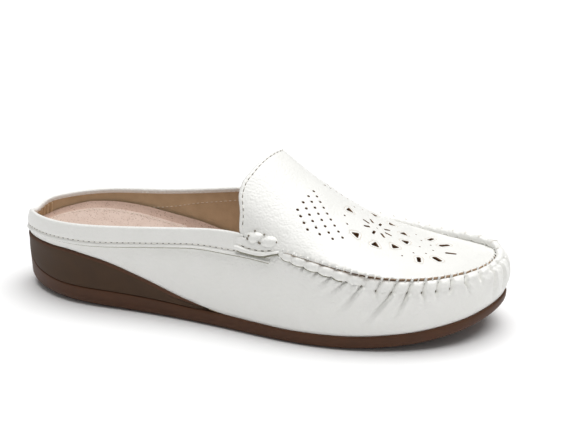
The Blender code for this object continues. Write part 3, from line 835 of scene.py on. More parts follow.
def inside(loop, points):
    """Which points lie inside a closed loop, by counting crossings."""
    x, y = points.T
    ax, ay = loop.T
    bx, by = np.roll(loop, -1, axis=0).T
    crossing = (ay[:, None] > y) != (by[:, None] > y)
    slope = (bx - ax)[:, None] * (y - ay[:, None]) / np.where(by == ay, 1e-12, by - ay)[:, None] + ax[:, None]
    return (crossing & (x < slope)).sum(axis=0) % 2 == 1


def nearest_gap(points, others):
    """Distance from each point to the nearest of the others, in parts to spare memory."""
    return np.concatenate([np.min(np.linalg.norm(points[k:k + 800, None] - others[None], axis=2), axis=1)
                           for k in range(0, len(points), 800)])


outline = border()
punched = (dot_holes, dot_bevels, long_holes, long_bevels, *ring_loops)
loops_in = [outline] + [loop for group in punched for loop in group]
loop_points = np.vstack(loops_in)
rows_a = [np.c_[np.full(104, a), np.linspace(-1, 1, 106)[1:-1] * (half_width(a, 1) - 0.5)] for a in EDGE_ROWS]
hex_a, hex_b = np.meshgrid(np.arange(1.9, MIDDLE[-1], CELL * 0.866), np.arange(-58, 58, CELL), indexing="ij")
hex_b = hex_b + (np.arange(len(hex_a)) % 2)[:, None] * CELL / 2
grid = np.c_[hex_a.ravel(), hex_b.ravel()]
grid = grid[inside(outline, grid)]
grid = grid[nearest_gap(grid, loop_points) > CLEAR]
segments, start = [], 0
for loop in loops_in:
    ids = np.arange(start, start + len(loop))
    segments += list(zip(ids.tolist(), np.roll(ids, -1).tolist()))
    start += len(loop)
chart_in = np.vstack([loop_points, *rows_a, grid])
cut_points, _, cut_faces, origin, _, _ = delaunay_2d_cdt([Vector(p) for p in chart_in], segments, [], 1, 1e-5)
chart, triangles = np.array([tuple(p) for p in cut_points]), np.array(cut_faces)


def inside_triangles(loop):
    """Which triangles have their middle inside a punch's outline."""
    middles = chart[triangles].mean(axis=1)
    near = np.where(np.all(np.abs(middles - loop.mean(axis=0)) < 6, axis=1))[0]
    found = np.zeros(len(triangles), bool)
    found[near[inside(loop, middles[near])]] = True
    return found


for hole in (*dot_holes, *long_holes):
    triangles = triangles[~inside_triangles(hole)]
print(len(chart), "chart points,", len(triangles), "triangles")

# %% [markdown]
# The sheet's raw edge shows along the seam between the lace strands, and its throat edge is folded
# over, so it rounds off there. Each hole's rim is drawn down by the punch, and engraved rings sink
# a little. The same triangles make the skin and the lining side.

# %% Bend the plug over the last
PLUG = 1.5                 # thickness of the plug with its lining
order = {index: k for k, sources in enumerate(origin) for index in sources}
sink = np.zeros(len(chart))
start = len(outline)
for group, depth in zip(punched, (0.08, 0.0, 0.08, 0.0, 0.0, 0.15, 0.0)):
    end = start + group.shape[0] * group.shape[1]
    if depth:
        sink[[order[k] for k in range(start, end)]] = depth
    start = end
SEAM_POINTS = 270          # this many points of the outline lie on the seam
edge_gap = nearest_gap(chart, outline[:SEAM_POINTS])
fold = np.clip(1 - chart[:, 0] / 0.9, 0, 1)
fold_depth = PLUG / 2 * (1 - np.sqrt(np.clip(1 - fold ** 2, 0, 1)))
rim_walk = CORNER + np.interp(chart[:, 0], MIDDLE, STATIONS) * (0.5 - CORNER)
rim_walk = np.where(chart[:, 1] > 0, 1 - rim_walk, rim_walk)
pulled = 1 - 0.3 * (1 - lobe_bulge(length_at(rim_walk))) * np.exp(-edge_gap / 1.6)
raised = plug_lift(rim_walk) * np.exp(-edge_gap / 5.0) * ease(2, 14, chart[:, 0]) * pulled
top, _ = chart_point(chart[:, 0], chart[:, 1], sink - raised + fold_depth)
under, _ = chart_point(chart[:, 0], chart[:, 1], PLUG - raised - fold_depth)
borders = {}
for tri in triangles.tolist():
    for edge in zip(tri, tri[1:] + tri[:1]):
        if borders.pop(edge[::-1], None) is None:
            borders[edge] = True
count = len(chart)
# Faces between the outer and the inner ring take the engraved finish: the tooled line's own tone, and painted shade for
# its shallow groove.
drawn = np.zeros(len(triangles), bool)
for outer, inner in zip(ring_loops[2], ring_loops[0]):
    drawn |= inside_triangles(outer) & ~inside_triangles(inner)
plug_faces = triangles.tolist() + (triangles[:, ::-1] + count).tolist()
marks = np.where(drawn, 4, 0).tolist() + [2] * len(triangles)
on_throat, on_rim = chart[:, 0] < 0.02, edge_gap < 0.02
for a, b in borders:
    plug_faces.append([b, a, a + count, b + count])
    marks.append(0 if on_throat[a] and on_throat[b] else 1 if on_rim[a] and on_rim[b] else 3)
make_piece("vamp_plug", np.vstack([top, under]), plug_faces,
           [white_leather, raw_edge, tan_lining, punched_edge, engraved], "upper_leather", "upper", marks)

# %% [markdown]
# ## The gathered wall
# The wall is one strip of leather round the shoe. Round the toe it is longer than the plug's edge,
# so the lace gathers it: small square pads under the plug's edge, with narrow valleys where the
# lace pulls it down into a pit, and creases that run on from each pit. No two folds in soft
# leather are the same, so each crease has its own length and lean. All of it is one height over
# the smooth last.

# %% Pads, pits and creases
# from the corner, pad, pit
GATHERS = np.array((
    (-400, 0.0, 5.0), (2, 0.0, 5.0), (17, 0.3, 3.4), (21, 0.7, 3.8), (30, 0.9, 4.4), (45, 1.1, 4.3), (60, 1.5, 5.2),
    (66, 1.7, 5.9), (80, 1.8, 5.7), (100, 1.8, 5.7), (108, 1.8, 4.8), (116, 1.8, 4.0), (125, 1.7, 3.4), (140, 1.7, 3.2),
))
# lean, length, depth, width, for each valley from the corner to the toe
CREASES = np.array((
    (0.0, 2, 0.0, 0.8), (0.3, 3, 0.2, 0.8), (0.5, 4, 0.5, 0.8), (0.8, 5, 0.6, 0.9), (1.0, 9, 0.9, 1.2),
    (1.0, 11, 1.1, 1.2), (0.7, 17, 1.5, 1.3), (-0.2, 5, 0.9, 1.0), (0.7, 21, 1.6, 1.3), (0.45, 14, 1.6, 1.0),
    (-0.35, 8, 1.0, 1.1), (0.0, 5, 0.8, 1.0), (0.1, 4, 0.8, 0.9), (-0.6, 8, 1.1, 1.0), (-0.2, 5, 1.0, 1.0),
    (-0.1, 19, 1.8, 1.1), (-0.05, 20, 1.8, 1.1),
))
LEAN, CREASE_LENGTH, CREASE_DEPTH, CREASE_WIDTH = np.vstack([CREASES, CREASES[::-1]]).T
PIT = np.interp(VALLEY_REACH, GATHERS[:, 0], GATHERS[:, 2])
DEEPEST = 1.7              # no fold goes further in than this


def valley_lines(drop):
    """Lengths along the seam of every valley, at drops below the edge: [drop, valley]."""
    above, below = np.minimum(drop[:, None], PIT), np.maximum(drop[:, None] - PIT, 0)
    return VALLEYS + HAND * (lace_shift(VALLEYS, -above) - LEAN * below)


def room_for_folds(walk, drop):
    """How much further in the wall's back and the lining sit where the leather is gathered."""
    return DEEPEST * ease(20, 26, from_corner(walk)) * ease(0.6, 2.0, np.broadcast_to(drop, len(walk)))


def leather_height(walk, drop):
    """How far the gathered leather stands off the last."""
    drop = np.broadcast_to(np.asarray(drop, float), len(walk))
    reach = from_corner(walk)
    pad, pit = (np.interp(reach, GATHERS[:, 0], GATHERS[:, k]) for k in (1, 2))
    away = length_at(walk)[:, None] - valley_lines(drop)
    near = np.min(np.abs(away), axis=1)
    edge = np.sqrt(np.clip(1 - (np.clip(3.0 - drop, 0, 2.7) / 2.7) ** 2, 0.0, 1))
    lower = (1 - 0.62 * ease(pit - 1.4, pit + 0.9, drop)) * gauss(np.clip(drop - pit - 0.9, 0, None), 4.5)
    here = 1 - ease(pit, pit + 2.5, drop)
    notch = 1 - (0.7 * gauss(near, 0.8) + 0.3 * gauss(near, 2.3)) * here
    pads = pad * edge * lower * notch
    pits = 0.9 * gauss(near, 1.0) * gauss(drop - pit, 0.9) + 0.8 * gauss(near, 0.7) * here * ease(0.8, 2.4, drop)
    past = drop[:, None] - PIT
    done = np.clip(past / CREASE_LENGTH, 0, 1)
    width = CREASE_WIDTH * (0.8 + 1.6 * done)
    shape = 0.95 * gauss(away, 2.2 * width) - 1.6 * gauss(away, 0.75 * width)
    creases = 1.6 * np.sum(CREASE_DEPTH * (1 - done) ** 1.2 * shape * ease(-0.6, 0.8, past), axis=1)
    foot = wall_height(walk)
    height = (pads - pits * ease(22, 28, reach) + creases) * (1 - ease(foot - 4.0, foot - 0.3, drop))
    return np.where(height < 0, -DEEPEST * np.tanh(-height / DEEPEST), height)


print(len(CREASES), "creases on each side")

# %% Wall strip
SEAM_STEP, COLLAR_STEP = 0.44, 1.6
WALL_LEATHER, LINING = 0.9, 0.5
LOW_ROWS = 18
TOP_DROPS = np.r_[0.3, 0.5:2.1:0.3, 2.4:6.1:0.4, 6.5, 7.1, 7.8]
wall_walk = walk_at(np.r_[np.arange(0, SEAM_LENGTH, SEAM_STEP), np.arange(SEAM_LENGTH, RIM_LENGTH[-1], COLLAR_STEP)])


def wall_point(walk, drop, height):
    """A point at a drop below the wall's top edge, a height off the last's surface."""
    climb = climb_at(walk, drop)
    return wall(walk, climb) + wall_normal(walk, climb) * np.broadcast_to(height, len(walk))[:, None]


def wall_grid(walk, drops, height):
    """Rows of wall points; height gives how far each stands off, from its walk and drop."""
    return np.stack([wall_point(walk, drop, height(walk, drop)) for drop in drops.T], axis=1)


below_top = wall_height(wall_walk)[:, None] + 0.35 - TOP_DROPS[-1]
low_drops = TOP_DROPS[-1] + below_top * np.linspace(0, 1, LOW_ROWS + 1)[1:]
drops = np.c_[np.broadcast_to(TOP_DROPS, (len(wall_walk), len(TOP_DROPS))), low_drops]
skin = wall_grid(wall_walk, drops, leather_height)
back = wall_grid(wall_walk, drops[:, [0, 5, 9, 13, 16, 19, 23, 27, 32, 37]],
                 lambda walk, drop: -WALL_LEATHER - room_for_folds(walk, drop))
make_piece("wall_leather", *loft(np.concatenate([skin, back[:, ::-1]], axis=1), closed=True),
           [white_leather], "upper_leather", "upper")

# %% [markdown]
# ## Lining
# A thin goatskin lining follows the inside of the wall. At the back of the heel it is ruched over
# an elastic, which keeps a backless shoe on the foot, so a short stretch has small upright pleats.

# %% Lining
LINING_ROWS = 24
lining_walk = np.sort(np.mod(np.r_[np.linspace(-0.042, 0.042, 200), np.linspace(0.045, 0.955, 360)], 1.0))
first = np.where((lining_walk > CORNER) & (lining_walk < 1 - CORNER), 0.9, 1.2)
to_foot = wall_height(lining_walk) + 1.5 - first
lining_drops = first[:, None] + to_foot[:, None] * np.linspace(0, 1, LINING_ROWS) ** 1.1


def pleats(walk, drop):
    """Ruching at the back of the heel, which ends at a seam on the medial side."""
    signed = walk - np.round(walk)
    ruched = ease(-0.0265, -0.0250, signed) * ease(0.036, 0.030, signed) * ease(2.0, 3.0, drop) * ease(12.5, 10.5, drop)
    return ruched * (0.6 * np.cos(2 * pi * signed * RIM_LENGTH[-1] / 2.6) + 0.45)


facing = wall_grid(lining_walk, lining_drops,
                   lambda walk, drop: -WALL_LEATHER - 0.1 - LINING - pleats(walk, drop) - room_for_folds(walk, drop))
against = wall_grid(lining_walk, lining_drops[:, [0, 2, 8, 16, 23]],
                    lambda walk, drop: -WALL_LEATHER - 0.05 - room_for_folds(walk, drop))
make_piece("wall_lining", *loft(np.concatenate([facing, against[:, ::-1]], axis=1), closed=True),
           [tan_lining], "upper_leather", "upper")

# %% [markdown]
# ## Collar band
# A strip of the same leather is stitched round the collar: it comes up the outside, folds over
# the rim into a soft bead and ends 2 mm down the inside. In front it runs on under the side
# tab as a flat strip and ends square.

# %% Collar band
BAND = 0.6                 # the band's leather stands this far off the wall
RIM_BEAD = 1.25            # radius of the fold over the rim
# The band's lower edge is turned in: share of its depth and height off the wall, from below up.
LOWER_LIP = ((0.955, -0.1), (0.975, 0.25), (1.0, 0.6), (1.008, 1.0), (0.992, 1.35), (0.955, 1.45), (0.905, 1.1),
             (0.86, BAND - 0.2), (0.8, BAND - 0.3), (0.755, BAND - 0.05))
# The fold over the rim and back inside it: drop and height off the wall.
FOLD = [(0.6 - 1.2 * sin(angle), (BAND - 1.9) / 2 + RIM_BEAD * cos(angle)) for angle in np.linspace(0, pi, 9)]
FOLD += [(1.1, -1.93), (1.6, -1.88), (1.95, -1.75), (2.1, -1.6),
         (2.0, -1.45), (1.6, -1.4), (1.2, -1.3), (0.9, -1.0), (0.6, -0.6), (0.4, -0.2)]


def band_depth(walk):
    """How far the band reaches down the wall."""
    return level("band", sole_edge(walk)[0][:, 0])


def band_sections(walk, outside, fold, inside_shares):
    """Closed sections: up the outside from the lower edge, over the fold and down the back."""
    depth = band_depth(walk)
    profile = [(share * depth, height) for share, height in LOWER_LIP + outside]
    profile += fold + [(share * depth, -0.2) for share in inside_shares]
    return np.stack([wall_point(walk, drop, height) for drop, height in profile], axis=1)


parts = [loft(band_sections(np.linspace(-CORNER - 0.001, CORNER + 0.001, 420),
                            ((0.65, BAND + 0.1), (0.45, BAND + 0.1), (0.25, BAND)), FOLD, np.linspace(0.1, 0.95, 20)))]
for way in (1, -1):
    parts.append(loft(band_sections(way * np.linspace(CORNER - 0.004, BAND_END, 40),
                                    ((0.65, BAND), (0.5, BAND), (0.4, BAND), (0.3, 0.3)), [],
                                    np.linspace(0.3, 0.95, 14))))
make_piece("collar_binding", *join(*parts), [white_leather], "upper_leather", "collar_band")

# %% [markdown]
# ## Side tabs
# A small tongue-shaped tab hides the end of the band on each side. Its edge is turned in and rolls
# over, so its lower rim is thick, and a row of long stitches holds it 2.5 mm above that. The
# leather above it is gathered into puffs where the lace starts; they are lofted as one soft roll.
# In front of the puffs the wall's leather bulges out from under the plug as a roll, and the lace
# pinches that in at every valley.

# %% Tables of the tabs, puffs and rolls
# along, top, row, bottom
TAB = np.array((
    (-2.8, 4.2, 4.8, 5.8), (-2.5, 2.8, 4.6, 6.7), (-1.5, 1.6, 4.5, 7.3), (0.4, 1.0, 4.7, 7.6), (3.3, 0.6, 5.0, 7.5),
    (6.8, 0.3, 4.8, 7.2), (11.5, 0.1, 3.9, 6.2), (14.0, 0.0, 3.0, 5.0), (16.5, 0.0, 2.0, 3.7), (18.6, 0.1, 1.2, 2.7),
    (19.6, 0.3, 0.9, 2.1),
))
# along, size, across
PUFFS = np.array((
    (0.6, 0.1, 0.6), (2.6, 0.35, 0.5), (4.6, 0.85, 0.4), (6.2, 1.0, 0.4), (7.8, 0.88, 0.5), (9.5, 0.42, 0.6),
    (11.2, 0.88, 0.8), (13.2, 1.0, 0.9), (15.2, 0.82, 0.8), (17.4, 0.42, 0.4), (19.5, 0.45, 0.0), (21.5, 0.5, -0.4),
    (24.5, 0.3, -0.7),
))
# along, across, height, half width, half height: the lateral roll, then the medial one
ROLLS = {-1: np.array((
    (18.0, -1.6, -0.2, 0.9, 0.6), (21.0, -2.2, 0.2, 1.8, 1.5), (26.0, -2.6, 0.5, 2.3, 2.1), (45.0, -2.8, 0.5, 2.4, 2.2),
    (56.0, -2.9, 0.2, 2.4, 1.9), (66.0, -3.0, -0.6, 2.0, 1.0),
)), 1: np.array((
    (18.0, -1.4, 0.0, 0.9, 0.6), (24.0, -1.4, 0.9, 1.9, 1.7), (60.0, -1.1, 1.1, 2.2, 2.0), (85.0, -0.8, 1.2, 2.2, 2.1),
    (100.0, -1.0, 1.6, 2.3, 2.2), (116.0, -1.3, 1.8, 2.3, 2.2), (126.0, -1.8, 1.3, 2.0, 1.8),
    (134.0, -2.4, -0.3, 1.4, 0.8),
))}
AROUND = np.linspace(0, 2 * pi, 20, endpoint=False)
print("a tab is", np.ptp(TAB[:, 0]), "mm long")

# %% Sections of a tab
def seam_at(reach, side):
    """Length along the seam of a point at a length from the throat corner of that side."""
    return reach if side < 0 else SEAM_LENGTH - reach


def side_walk(reach, side):
    """Walk at a length from the throat corner of that side."""
    return walk_at(seam_at(reach, side))


def tab_height(drop, top, row, bottom):
    """How far the tab's skin stands off the wall: flat, a stitched dip, then the rolled edge."""
    share = (drop - top) / (bottom - top)
    roll = np.clip((drop - row - 0.5) / (bottom - row - 0.5), 0, 1)
    rolled = 0.9 * np.sqrt(np.clip(1 - (2 * roll - 1) ** 2, 0, 1)) * (drop > row + 0.5)
    return BAND + 1.3 + 0.25 * np.sin(pi * np.clip(share, 0, 1)) - 0.4 * gauss(drop - row, 0.55) + rolled


def tab_sections(side):
    """Closed sections across the tab, from its back end to its front end."""
    sections = []
    at = np.r_[np.linspace(-2.8, -1.2, 12), np.linspace(-0.8, 18.2, 54), np.linspace(18.5, 19.6, 8)]
    for reach, top, row, bottom in zip(at, *read_table(TAB, at)):
        row = min(row, bottom - 0.9)
        drop = np.r_[np.linspace(top, row - 0.5, 9), row - 0.25, row, row + 0.25, np.linspace(row + 0.5, bottom, 16)]
        walk = np.full(len(drop), side_walk(reach, side))
        outer = wall_point(walk, drop, tab_height(drop, top, row, bottom))
        inner = wall_point(walk, drop, BAND + 0.1 + 0.9 * ((drop - top) / (bottom - top)) ** 2)
        sections.append(np.vstack([outer, inner[::-1]]))
    return np.array(sections)


print("tab sections ready")

# %% Sections of the puffs and rolls
def over_seam(walk, across, height):
    """A point beside the seam: across is positive over the plug and negative down the wall."""
    forward = (np.minimum(walk, 1 - walk) - CORNER) / (0.5 - CORNER)
    plug_normal = vamp_normal(np.clip(forward, 0.004, 0.97), np.where(np.mod(walk, 1) < 0.5, -0.95, 0.95))
    inward = unit(np.cross(plug_normal, unit(wall_top(walk + 1e-3) - wall_top(walk - 1e-3))))
    across = np.broadcast_to(across, len(walk))
    climb = climb_at(walk, np.clip(-across, 0, None))
    share = ease(-1.5, 1.5, across)[:, None]
    normal = unit(wall_normal(walk, climb) * (1 - share) + plug_normal * share)
    inward = inward * np.clip(across, 0, None)[:, None]
    return wall(walk, climb) + inward + normal * np.broadcast_to(height, len(walk))[:, None]


def sheared(length, hand, across):
    """Walks of points across the seam, slanting back as they go down the wall."""
    return walk_at(length + hand * lace_shift(length, across))


def puff_sections(side):
    """Puffs over the tab, sinking to a plain fold in front of it."""
    sections = []
    at = np.linspace(0.6, 24.5, 110)
    for reach, size, middle in zip(at, *read_table(PUFFS, at)):
        across = middle + 3.2 * size ** 0.6 * np.cos(AROUND)
        height = 0.4 + np.where(np.sin(AROUND) > 0, 2.9, 0.8) * size * np.sin(AROUND)
        sections.append(over_seam(sheared(seam_at(reach, side), -side, across - 1.2), across, height))
    return np.array(sections)


def roll_at(reach, side):
    """The roll's place and size; the lace pinches it in at every valley, harder on the lateral side."""
    across, height, wide, tall = read_table(ROLLS[side], reach)
    lobe = lobe_bulge(seam_at(reach, side))
    in_width, in_height = (0.6 + 0.4 * lobe, 0.3 + 0.7 * lobe) if side < 0 else (0.8 + 0.2 * lobe, 0.55 + 0.45 * lobe)
    return across, height, wide * in_width, tall * in_height


def roll_sections(side):
    """A gathered roll of the wall's leather under the plug's edge."""
    sections = []
    for reach in np.arange(ROLLS[side][0, 0], ROLLS[side][-1, 0], 0.45):
        middle, height, wide, tall = roll_at(reach, side)
        across = middle + wide * np.cos(AROUND)
        sections.append(over_seam(sheared(seam_at(reach, side), -side, across), across, height + tall * np.sin(AROUND)))
    return np.array(sections)


for side, label in ((-1, "lateral"), (1, "medial")):
    make_piece("side_tab_" + label + "_leather", *join(loft(tab_sections(side)), loft(puff_sections(side))),
               [white_leather], "upper_leather", "side_tab_" + label)
make_piece("gathered_roll_leather", *join(loft(roll_sections(-1)), loft(roll_sections(1))),
           [white_leather], "upper_leather")

# %% [markdown]
# ## Lacing
# A flat white thong is laced over the plug's raw edge: it comes up through the plug, slants over
# the edge and dives into the valley between two lobes, and a thinner thread bridges each lobe
# between. Each stitch is a short path over the seam. One Geometry Nodes tree turns the paths into
# lace, with its width and thickness as inputs, and later makes the tread too.

# %% Strand tree
strand_tree, given = empty_tree("strands", Width=("Float", 0.002), Thickness=("Float", 0.001), Sides=("Int", 8),
                                Material=("Material", None))
lines = shape_node(strand_tree, "MeshToCurve", {"Mesh": given["Geometry"]})
out = attribute(strand_tree, "out", "FLOAT_VECTOR")
upright = shape_node(strand_tree, "SetCurveNormal", {"Curve": lines, "Normal": out}, mode="FREE")
rounding = shape_node(strand_tree, "CurvePrimitiveCircle", {"Resolution": given["Sides"], "Radius": 0.5})
flat = add_node(strand_tree, "ShaderNodeCombineXYZ", {0: given["Thickness"], 1: given["Width"], 2: 1.0}).outputs[0]
oval = shape_node(strand_tree, "Transform", {"Geometry": rounding, "Scale": flat})
swept = shape_node(strand_tree, "CurveToMesh", {"Curve": upright, "Profile Curve": oval, "Fill Caps": True})


def end_tree(tree, shape, material):
    """Makes a tree's shape real, smooth and of its material, and hands it out."""
    real = shape_node(tree, "RealizeInstances", {"Geometry": shape})
    soft = shape_node(tree, "SetShadeSmooth", {"Geometry": real})
    dyed = shape_node(tree, "SetMaterial", {"Geometry": soft, "Material": material})
    add_node(tree, "NodeGroupOutput", {"Geometry": dyed})


end_tree(strand_tree, swept, given["Material"])


def grown_piece(name, tree, points, attributes, slot, stands_for=None, edges=(), **inputs):
    """A finished piece that a tree makes of millimetre points."""
    mesh = run_tree(name, tree, place(points), attributes, edges, **inputs)
    seal(mesh)
    for label in [layer.name for layer in mesh.attributes if layer.name in attributes]:
        mesh.attributes.remove(mesh.attributes[label])
    return seat(name, mesh, stands_for)


def strands(name, paths, normals, width, thickness, finish, sides=8, slot="upper_leather", stands_for=None):
    """Lace or ribs along paths [strand, point, xyz], flat side along the normals; sizes in millimetres."""
    count, length = paths.shape[:2]
    index = np.arange(count * length).reshape(count, length)
    edges = np.stack([index[:, :-1], index[:, 1:]], axis=-1).reshape(-1, 2)
    return grown_piece(name, strand_tree, paths.reshape(-1, 3), {"out": normals.reshape(-1, 3)}, slot, stands_for,
                       edges, Width=width * MM, Thickness=thickness * MM, Sides=sides, Material=finish)


print("strand tree has", len(strand_tree.nodes), "nodes")

# %% Lace over the seam
NOWHERE = -9.0             # height where there is no leather


def leather_top(walk, across, length):
    """Height of whatever leather is on top beside the seam: plug, roll or wall."""
    side = 1 if length > SEAM_LENGTH / 2 else -1
    reach = min(length, SEAM_LENGTH - length)
    plug_top = np.where(across > -0.3, plug_lift(walk) * np.exp(-np.abs(across) / 5.0), NOWHERE)
    top = np.maximum(plug_top, np.where(across < 0, leather_height(walk, np.clip(-across, 0.3, None)), 0.0))
    if ROLLS[side][0, 0] < reach < ROLLS[side][-1, 0]:
        middle, height, wide, tall = roll_at(reach, side)
        arch = 1 - ((across - middle) / wide) ** 2
        top = np.maximum(top, np.where(arch > 0, height + tall * np.sqrt(np.clip(arch, 0, 1)), NOWHERE))
    return top


def lace_paths(centres, first, last, clearance):
    """Paths over the seam that follow the leather under them and dive in at both ends."""
    paths, outs = [], []
    for centre, end in zip(centres, last):
        across = np.linspace(first, end, 15)
        walk = sheared(centre, -1.0 if centre > SEAM_LENGTH / 2 else 1.0, across)
        height = leather_top(walk, across, centre) + clearance
        padded = np.r_[height[0], height, height[-1]]
        height = np.maximum(height, (padded[:-2] + 2 * padded[1:-1] + padded[2:]) / 4)
        height[0], height[-1] = height[0] - clearance - 0.4, height[-1] - clearance - 0.5
        low, high = over_seam(walk, across, height), over_seam(walk, across, height + 0.2)
        paths.append(low)
        outs.append(unit(high - low))
    return np.array(paths), np.array(outs)


lace_ends = np.where(VALLEY_REACH < np.where(HAND > 0, 64, 122), -4.6, -1.5)
strands("seam_lacing", *lace_paths(VALLEYS, 0.7, lace_ends, 0.1), 1.2, 0.6, white_leather, 10, stands_for="toe_seam")
middles = ALL_LOBES[(ALL_LOBES > 21) & (ALL_LOBES < SEAM_LENGTH - 21)]
thread_ends = np.where(middles > SEAM_LENGTH - 125, -2.6, -1.0)
strands("seam_threads", *lace_paths(middles, 0.6, thread_ends, 0.14), 0.8, 0.5, white_thread, 6)
print(len(VALLEYS), "lace strands and", len(middles), "threads")

# %% Painted shadow lines in valleys and under edges
def painted_shadow_lines(name, lines, width, thickness):
    """Thin dark lines of painted shadow, each a path and its normals, where a fold or an edge leaves a gap in shade."""
    paths, normals = (np.array([line[k] for line in lines]) for k in (0, 1))
    strands(name, paths, normals, width, thickness, edge_shadow, 6)


def edge_line(walk, drop, height):
    """A path on the wall under a turned edge."""
    low, high = wall_point(walk, drop, height), wall_point(walk, drop, height + 0.3)
    return low, unit(high - low)


def fold_line(k):
    """A path in one valley of the wall and on down its crease, sinking into the leather at the end."""
    drop = np.linspace(1.3, PIT[k] + max(0.6, (CREASE_DEPTH[k] - 0.7) * CREASE_LENGTH[k] * 0.6), 20)
    walk = walk_at(valley_lines(drop)[:, k])
    sunk = 0.02 + 0.3 * np.linspace(0, 1, 20) ** 3
    return wall_point(walk, drop, leather_height(walk, drop) - sunk), wall_normal(walk, climb_at(walk, drop))


def under_roll(reach):
    """A point under the lateral roll's lower side, and the wall's normal there."""
    middle, _, wide, _ = roll_at(reach, -1)
    low_side = middle - wide - 0.05
    walk = sheared(reach, 1.0, np.full(3, low_side))
    spot = over_seam(walk, low_side, leather_height(walk, -low_side) + 0.1)
    return spot[1], unit(wall_normal(walk, climb_at(walk, -low_side)))[1]


# Dark strands of painted shadow: down the valleys and their creases, under the lateral roll, under the band's lower
# edge and under each tab's lip.
painted_shadow_lines("valley_painted_shadows", [fold_line(k) for k in np.flatnonzero(VALLEY_REACH > 50)], 0.55, 0.3)
painted_shadow_lines("roll_edge_painted_shadow", [list(zip(*map(under_roll, np.arange(19.0, 52.0, 0.4))))], 0.7, 0.4)
band_edge = np.linspace(-BAND_END + 0.001, BAND_END - 0.001, 700)
painted_shadow_lines("band_edge_painted_shadow", [edge_line(band_edge, band_depth(band_edge) + 0.3, 0.12)], 0.8, 0.5)
lip_reach = np.linspace(-1.8, 19.0, 90)
for side, label in ((-1, "lateral"), (1, "medial")):
    lip = edge_line(side_walk(lip_reach, side), read_table(TAB, lip_reach)[2] + 0.35, BAND + 0.5)
    painted_shadow_lines("tab_edge_gap_" + label, [lip], 1.1, 0.5)

# %% [markdown]
# ## Sole and wedge
# The outsole is one rubber moulding: a rolled edge, a shallow groove under the wedge, and a tread
# of ribs in a recess below. The wedge is a foam moulding on top of it, with a paler line painted
# along its upper rim as a highlight. Both are rings of the sole's edge, moved inwards and stacked.

# %% Outsole
SOLE_COLUMNS = 360
sole_walk = (np.arange(SOLE_COLUMNS) + 0.5) / SOLE_COLUMNS
sole_x = sole_edge(sole_walk)[0][:, 0]


def sole_ring(inset, height):
    """The sole's edge moved inwards, at heights along it."""
    return np.c_[sole_edge(sole_walk, inset)[0], np.broadcast_to(height, SOLE_COLUMNS)]


def level_ring(name, inset, rise, extra=0.0):
    """A ring that follows one of the sole's lines; extra moves it inwards without moving the line."""
    return sole_ring(inset + extra, level(name, sole_edge(sole_walk, inset)[0][:, 0]) + rise)


RECESS = 1.3               # the tread's ribs stand in a recess this deep
front = ease(112, 126, sole_x)
tuck = 1.6 * ease(70, 20, sole_x)      # the lower edge is rounded more under the heel
ground, groove = level("ground", sole_x), level("groove", sole_x)
sole_top = groove + front * (level("feather", sole_x) + 0.1 - groove)
rings = [level_ring("ground", *ring) for ring in (
    (12.0, RECESS), (7.2, RECESS), (6.8, RECESS - 0.15), (6.4, 0.15), (6.0, 0.0), (3.0, 0.0, tuck), (1.9, 0.2, tuck),
    (1.0, 0.7, 0.9 * tuck), (0.4, 1.5, 0.7 * tuck))]
rings += [sole_ring(0.08 + 0.4 * tuck, ground + 2.5), sole_ring(0.15 * tuck, ground + 3.8)]
rings += [sole_ring(inset, sole_top - drop) for inset, drop in (
    (0.0, 0.9), (0.12, 0.45), (0.45, 0.12), (0.9, 0.0), (3.0, 0.0), (6.0, 0.3), (12.0, 0.5))]
make_piece("outsole_rubber", *loft(np.array(rings)), [sole_rubber], "sole_rubber", "outsole")

# %% Tread ribs
UP = np.array((0.0, 0.0, 1.0))
tread_edges = [sole_edge(walk, 8.5)[0] for walk in (np.linspace(0.0, 0.5, 400), 1 - np.linspace(0.0, 0.5, 400))]
ribs = []
for x in np.r_[16:84:7.0, 136:236:7.0]:
    y = np.linspace(*(np.interp(x, edge[:, 0], edge[:, 1]) for edge in tread_edges), 16)
    wave = x + 1.4 * np.sin(2 * pi * y / 14.0)
    ribs.append(np.c_[wave, y, level("ground", wave) + 0.75])
ribs = np.array(ribs)
strands("tread_ribs", ribs, np.broadcast_to(UP, ribs.shape), 3.0, 1.5, sole_rubber, slot="sole_rubber")

# %% Wedge
WEDGE_FRONT = 128.0        # in front of this no wedge stands above the groove
hidden = 3.4 * ease(104, 120, sole_x)  # the wedge runs in under the upper there
wedge_floor = groove + 0.05
wedge_top = np.maximum(level("feather", sole_x), wedge_floor + 0.3)
tall = wedge_top - wedge_floor
rings = [sole_ring(inset + hidden, wedge_floor + np.minimum(rise, tall * 0.5)) for inset, rise in (
    (14.0, 0.0), (3.0, 0.0), (0.95, 0.0), (0.5, 0.0), (0.22, 0.12), (0.06, 0.4), (0.0, 0.9))]
waist = 0.35 * np.clip(tall / 18, 0, 1)
rings += [sole_ring(waist * sin(pi * share) + hidden, wedge_floor + tall * (0.08 + 0.84 * share))
          for share in (0.2, 0.4, 0.6, 0.8)]
RIM = ((0.0, 1.5), (0.1, 1.0), (0.3, 0.5), (0.6, 0.12), (1.0, 0.0))
rim_from = len(rings)
rings += [sole_ring(inset + hidden, np.maximum(wedge_top - drop, wedge_floor + 0.15)) for inset, drop in RIM]
rings += [sole_ring(3.2 + hidden, wedge_top), sole_ring(3.6 + hidden, wedge_top - 0.3),
          sole_ring(14.0, wedge_top - 0.5)]
points, faces = loft(np.array(rings))
rung = np.arange(len(faces)) // SOLE_COLUMNS   # each face lies between this ring and the next
x, _, z = points.T
points[:, 2] = np.where(x > WEDGE_FRONT, np.minimum(z, level("groove", x) + 0.1), z)
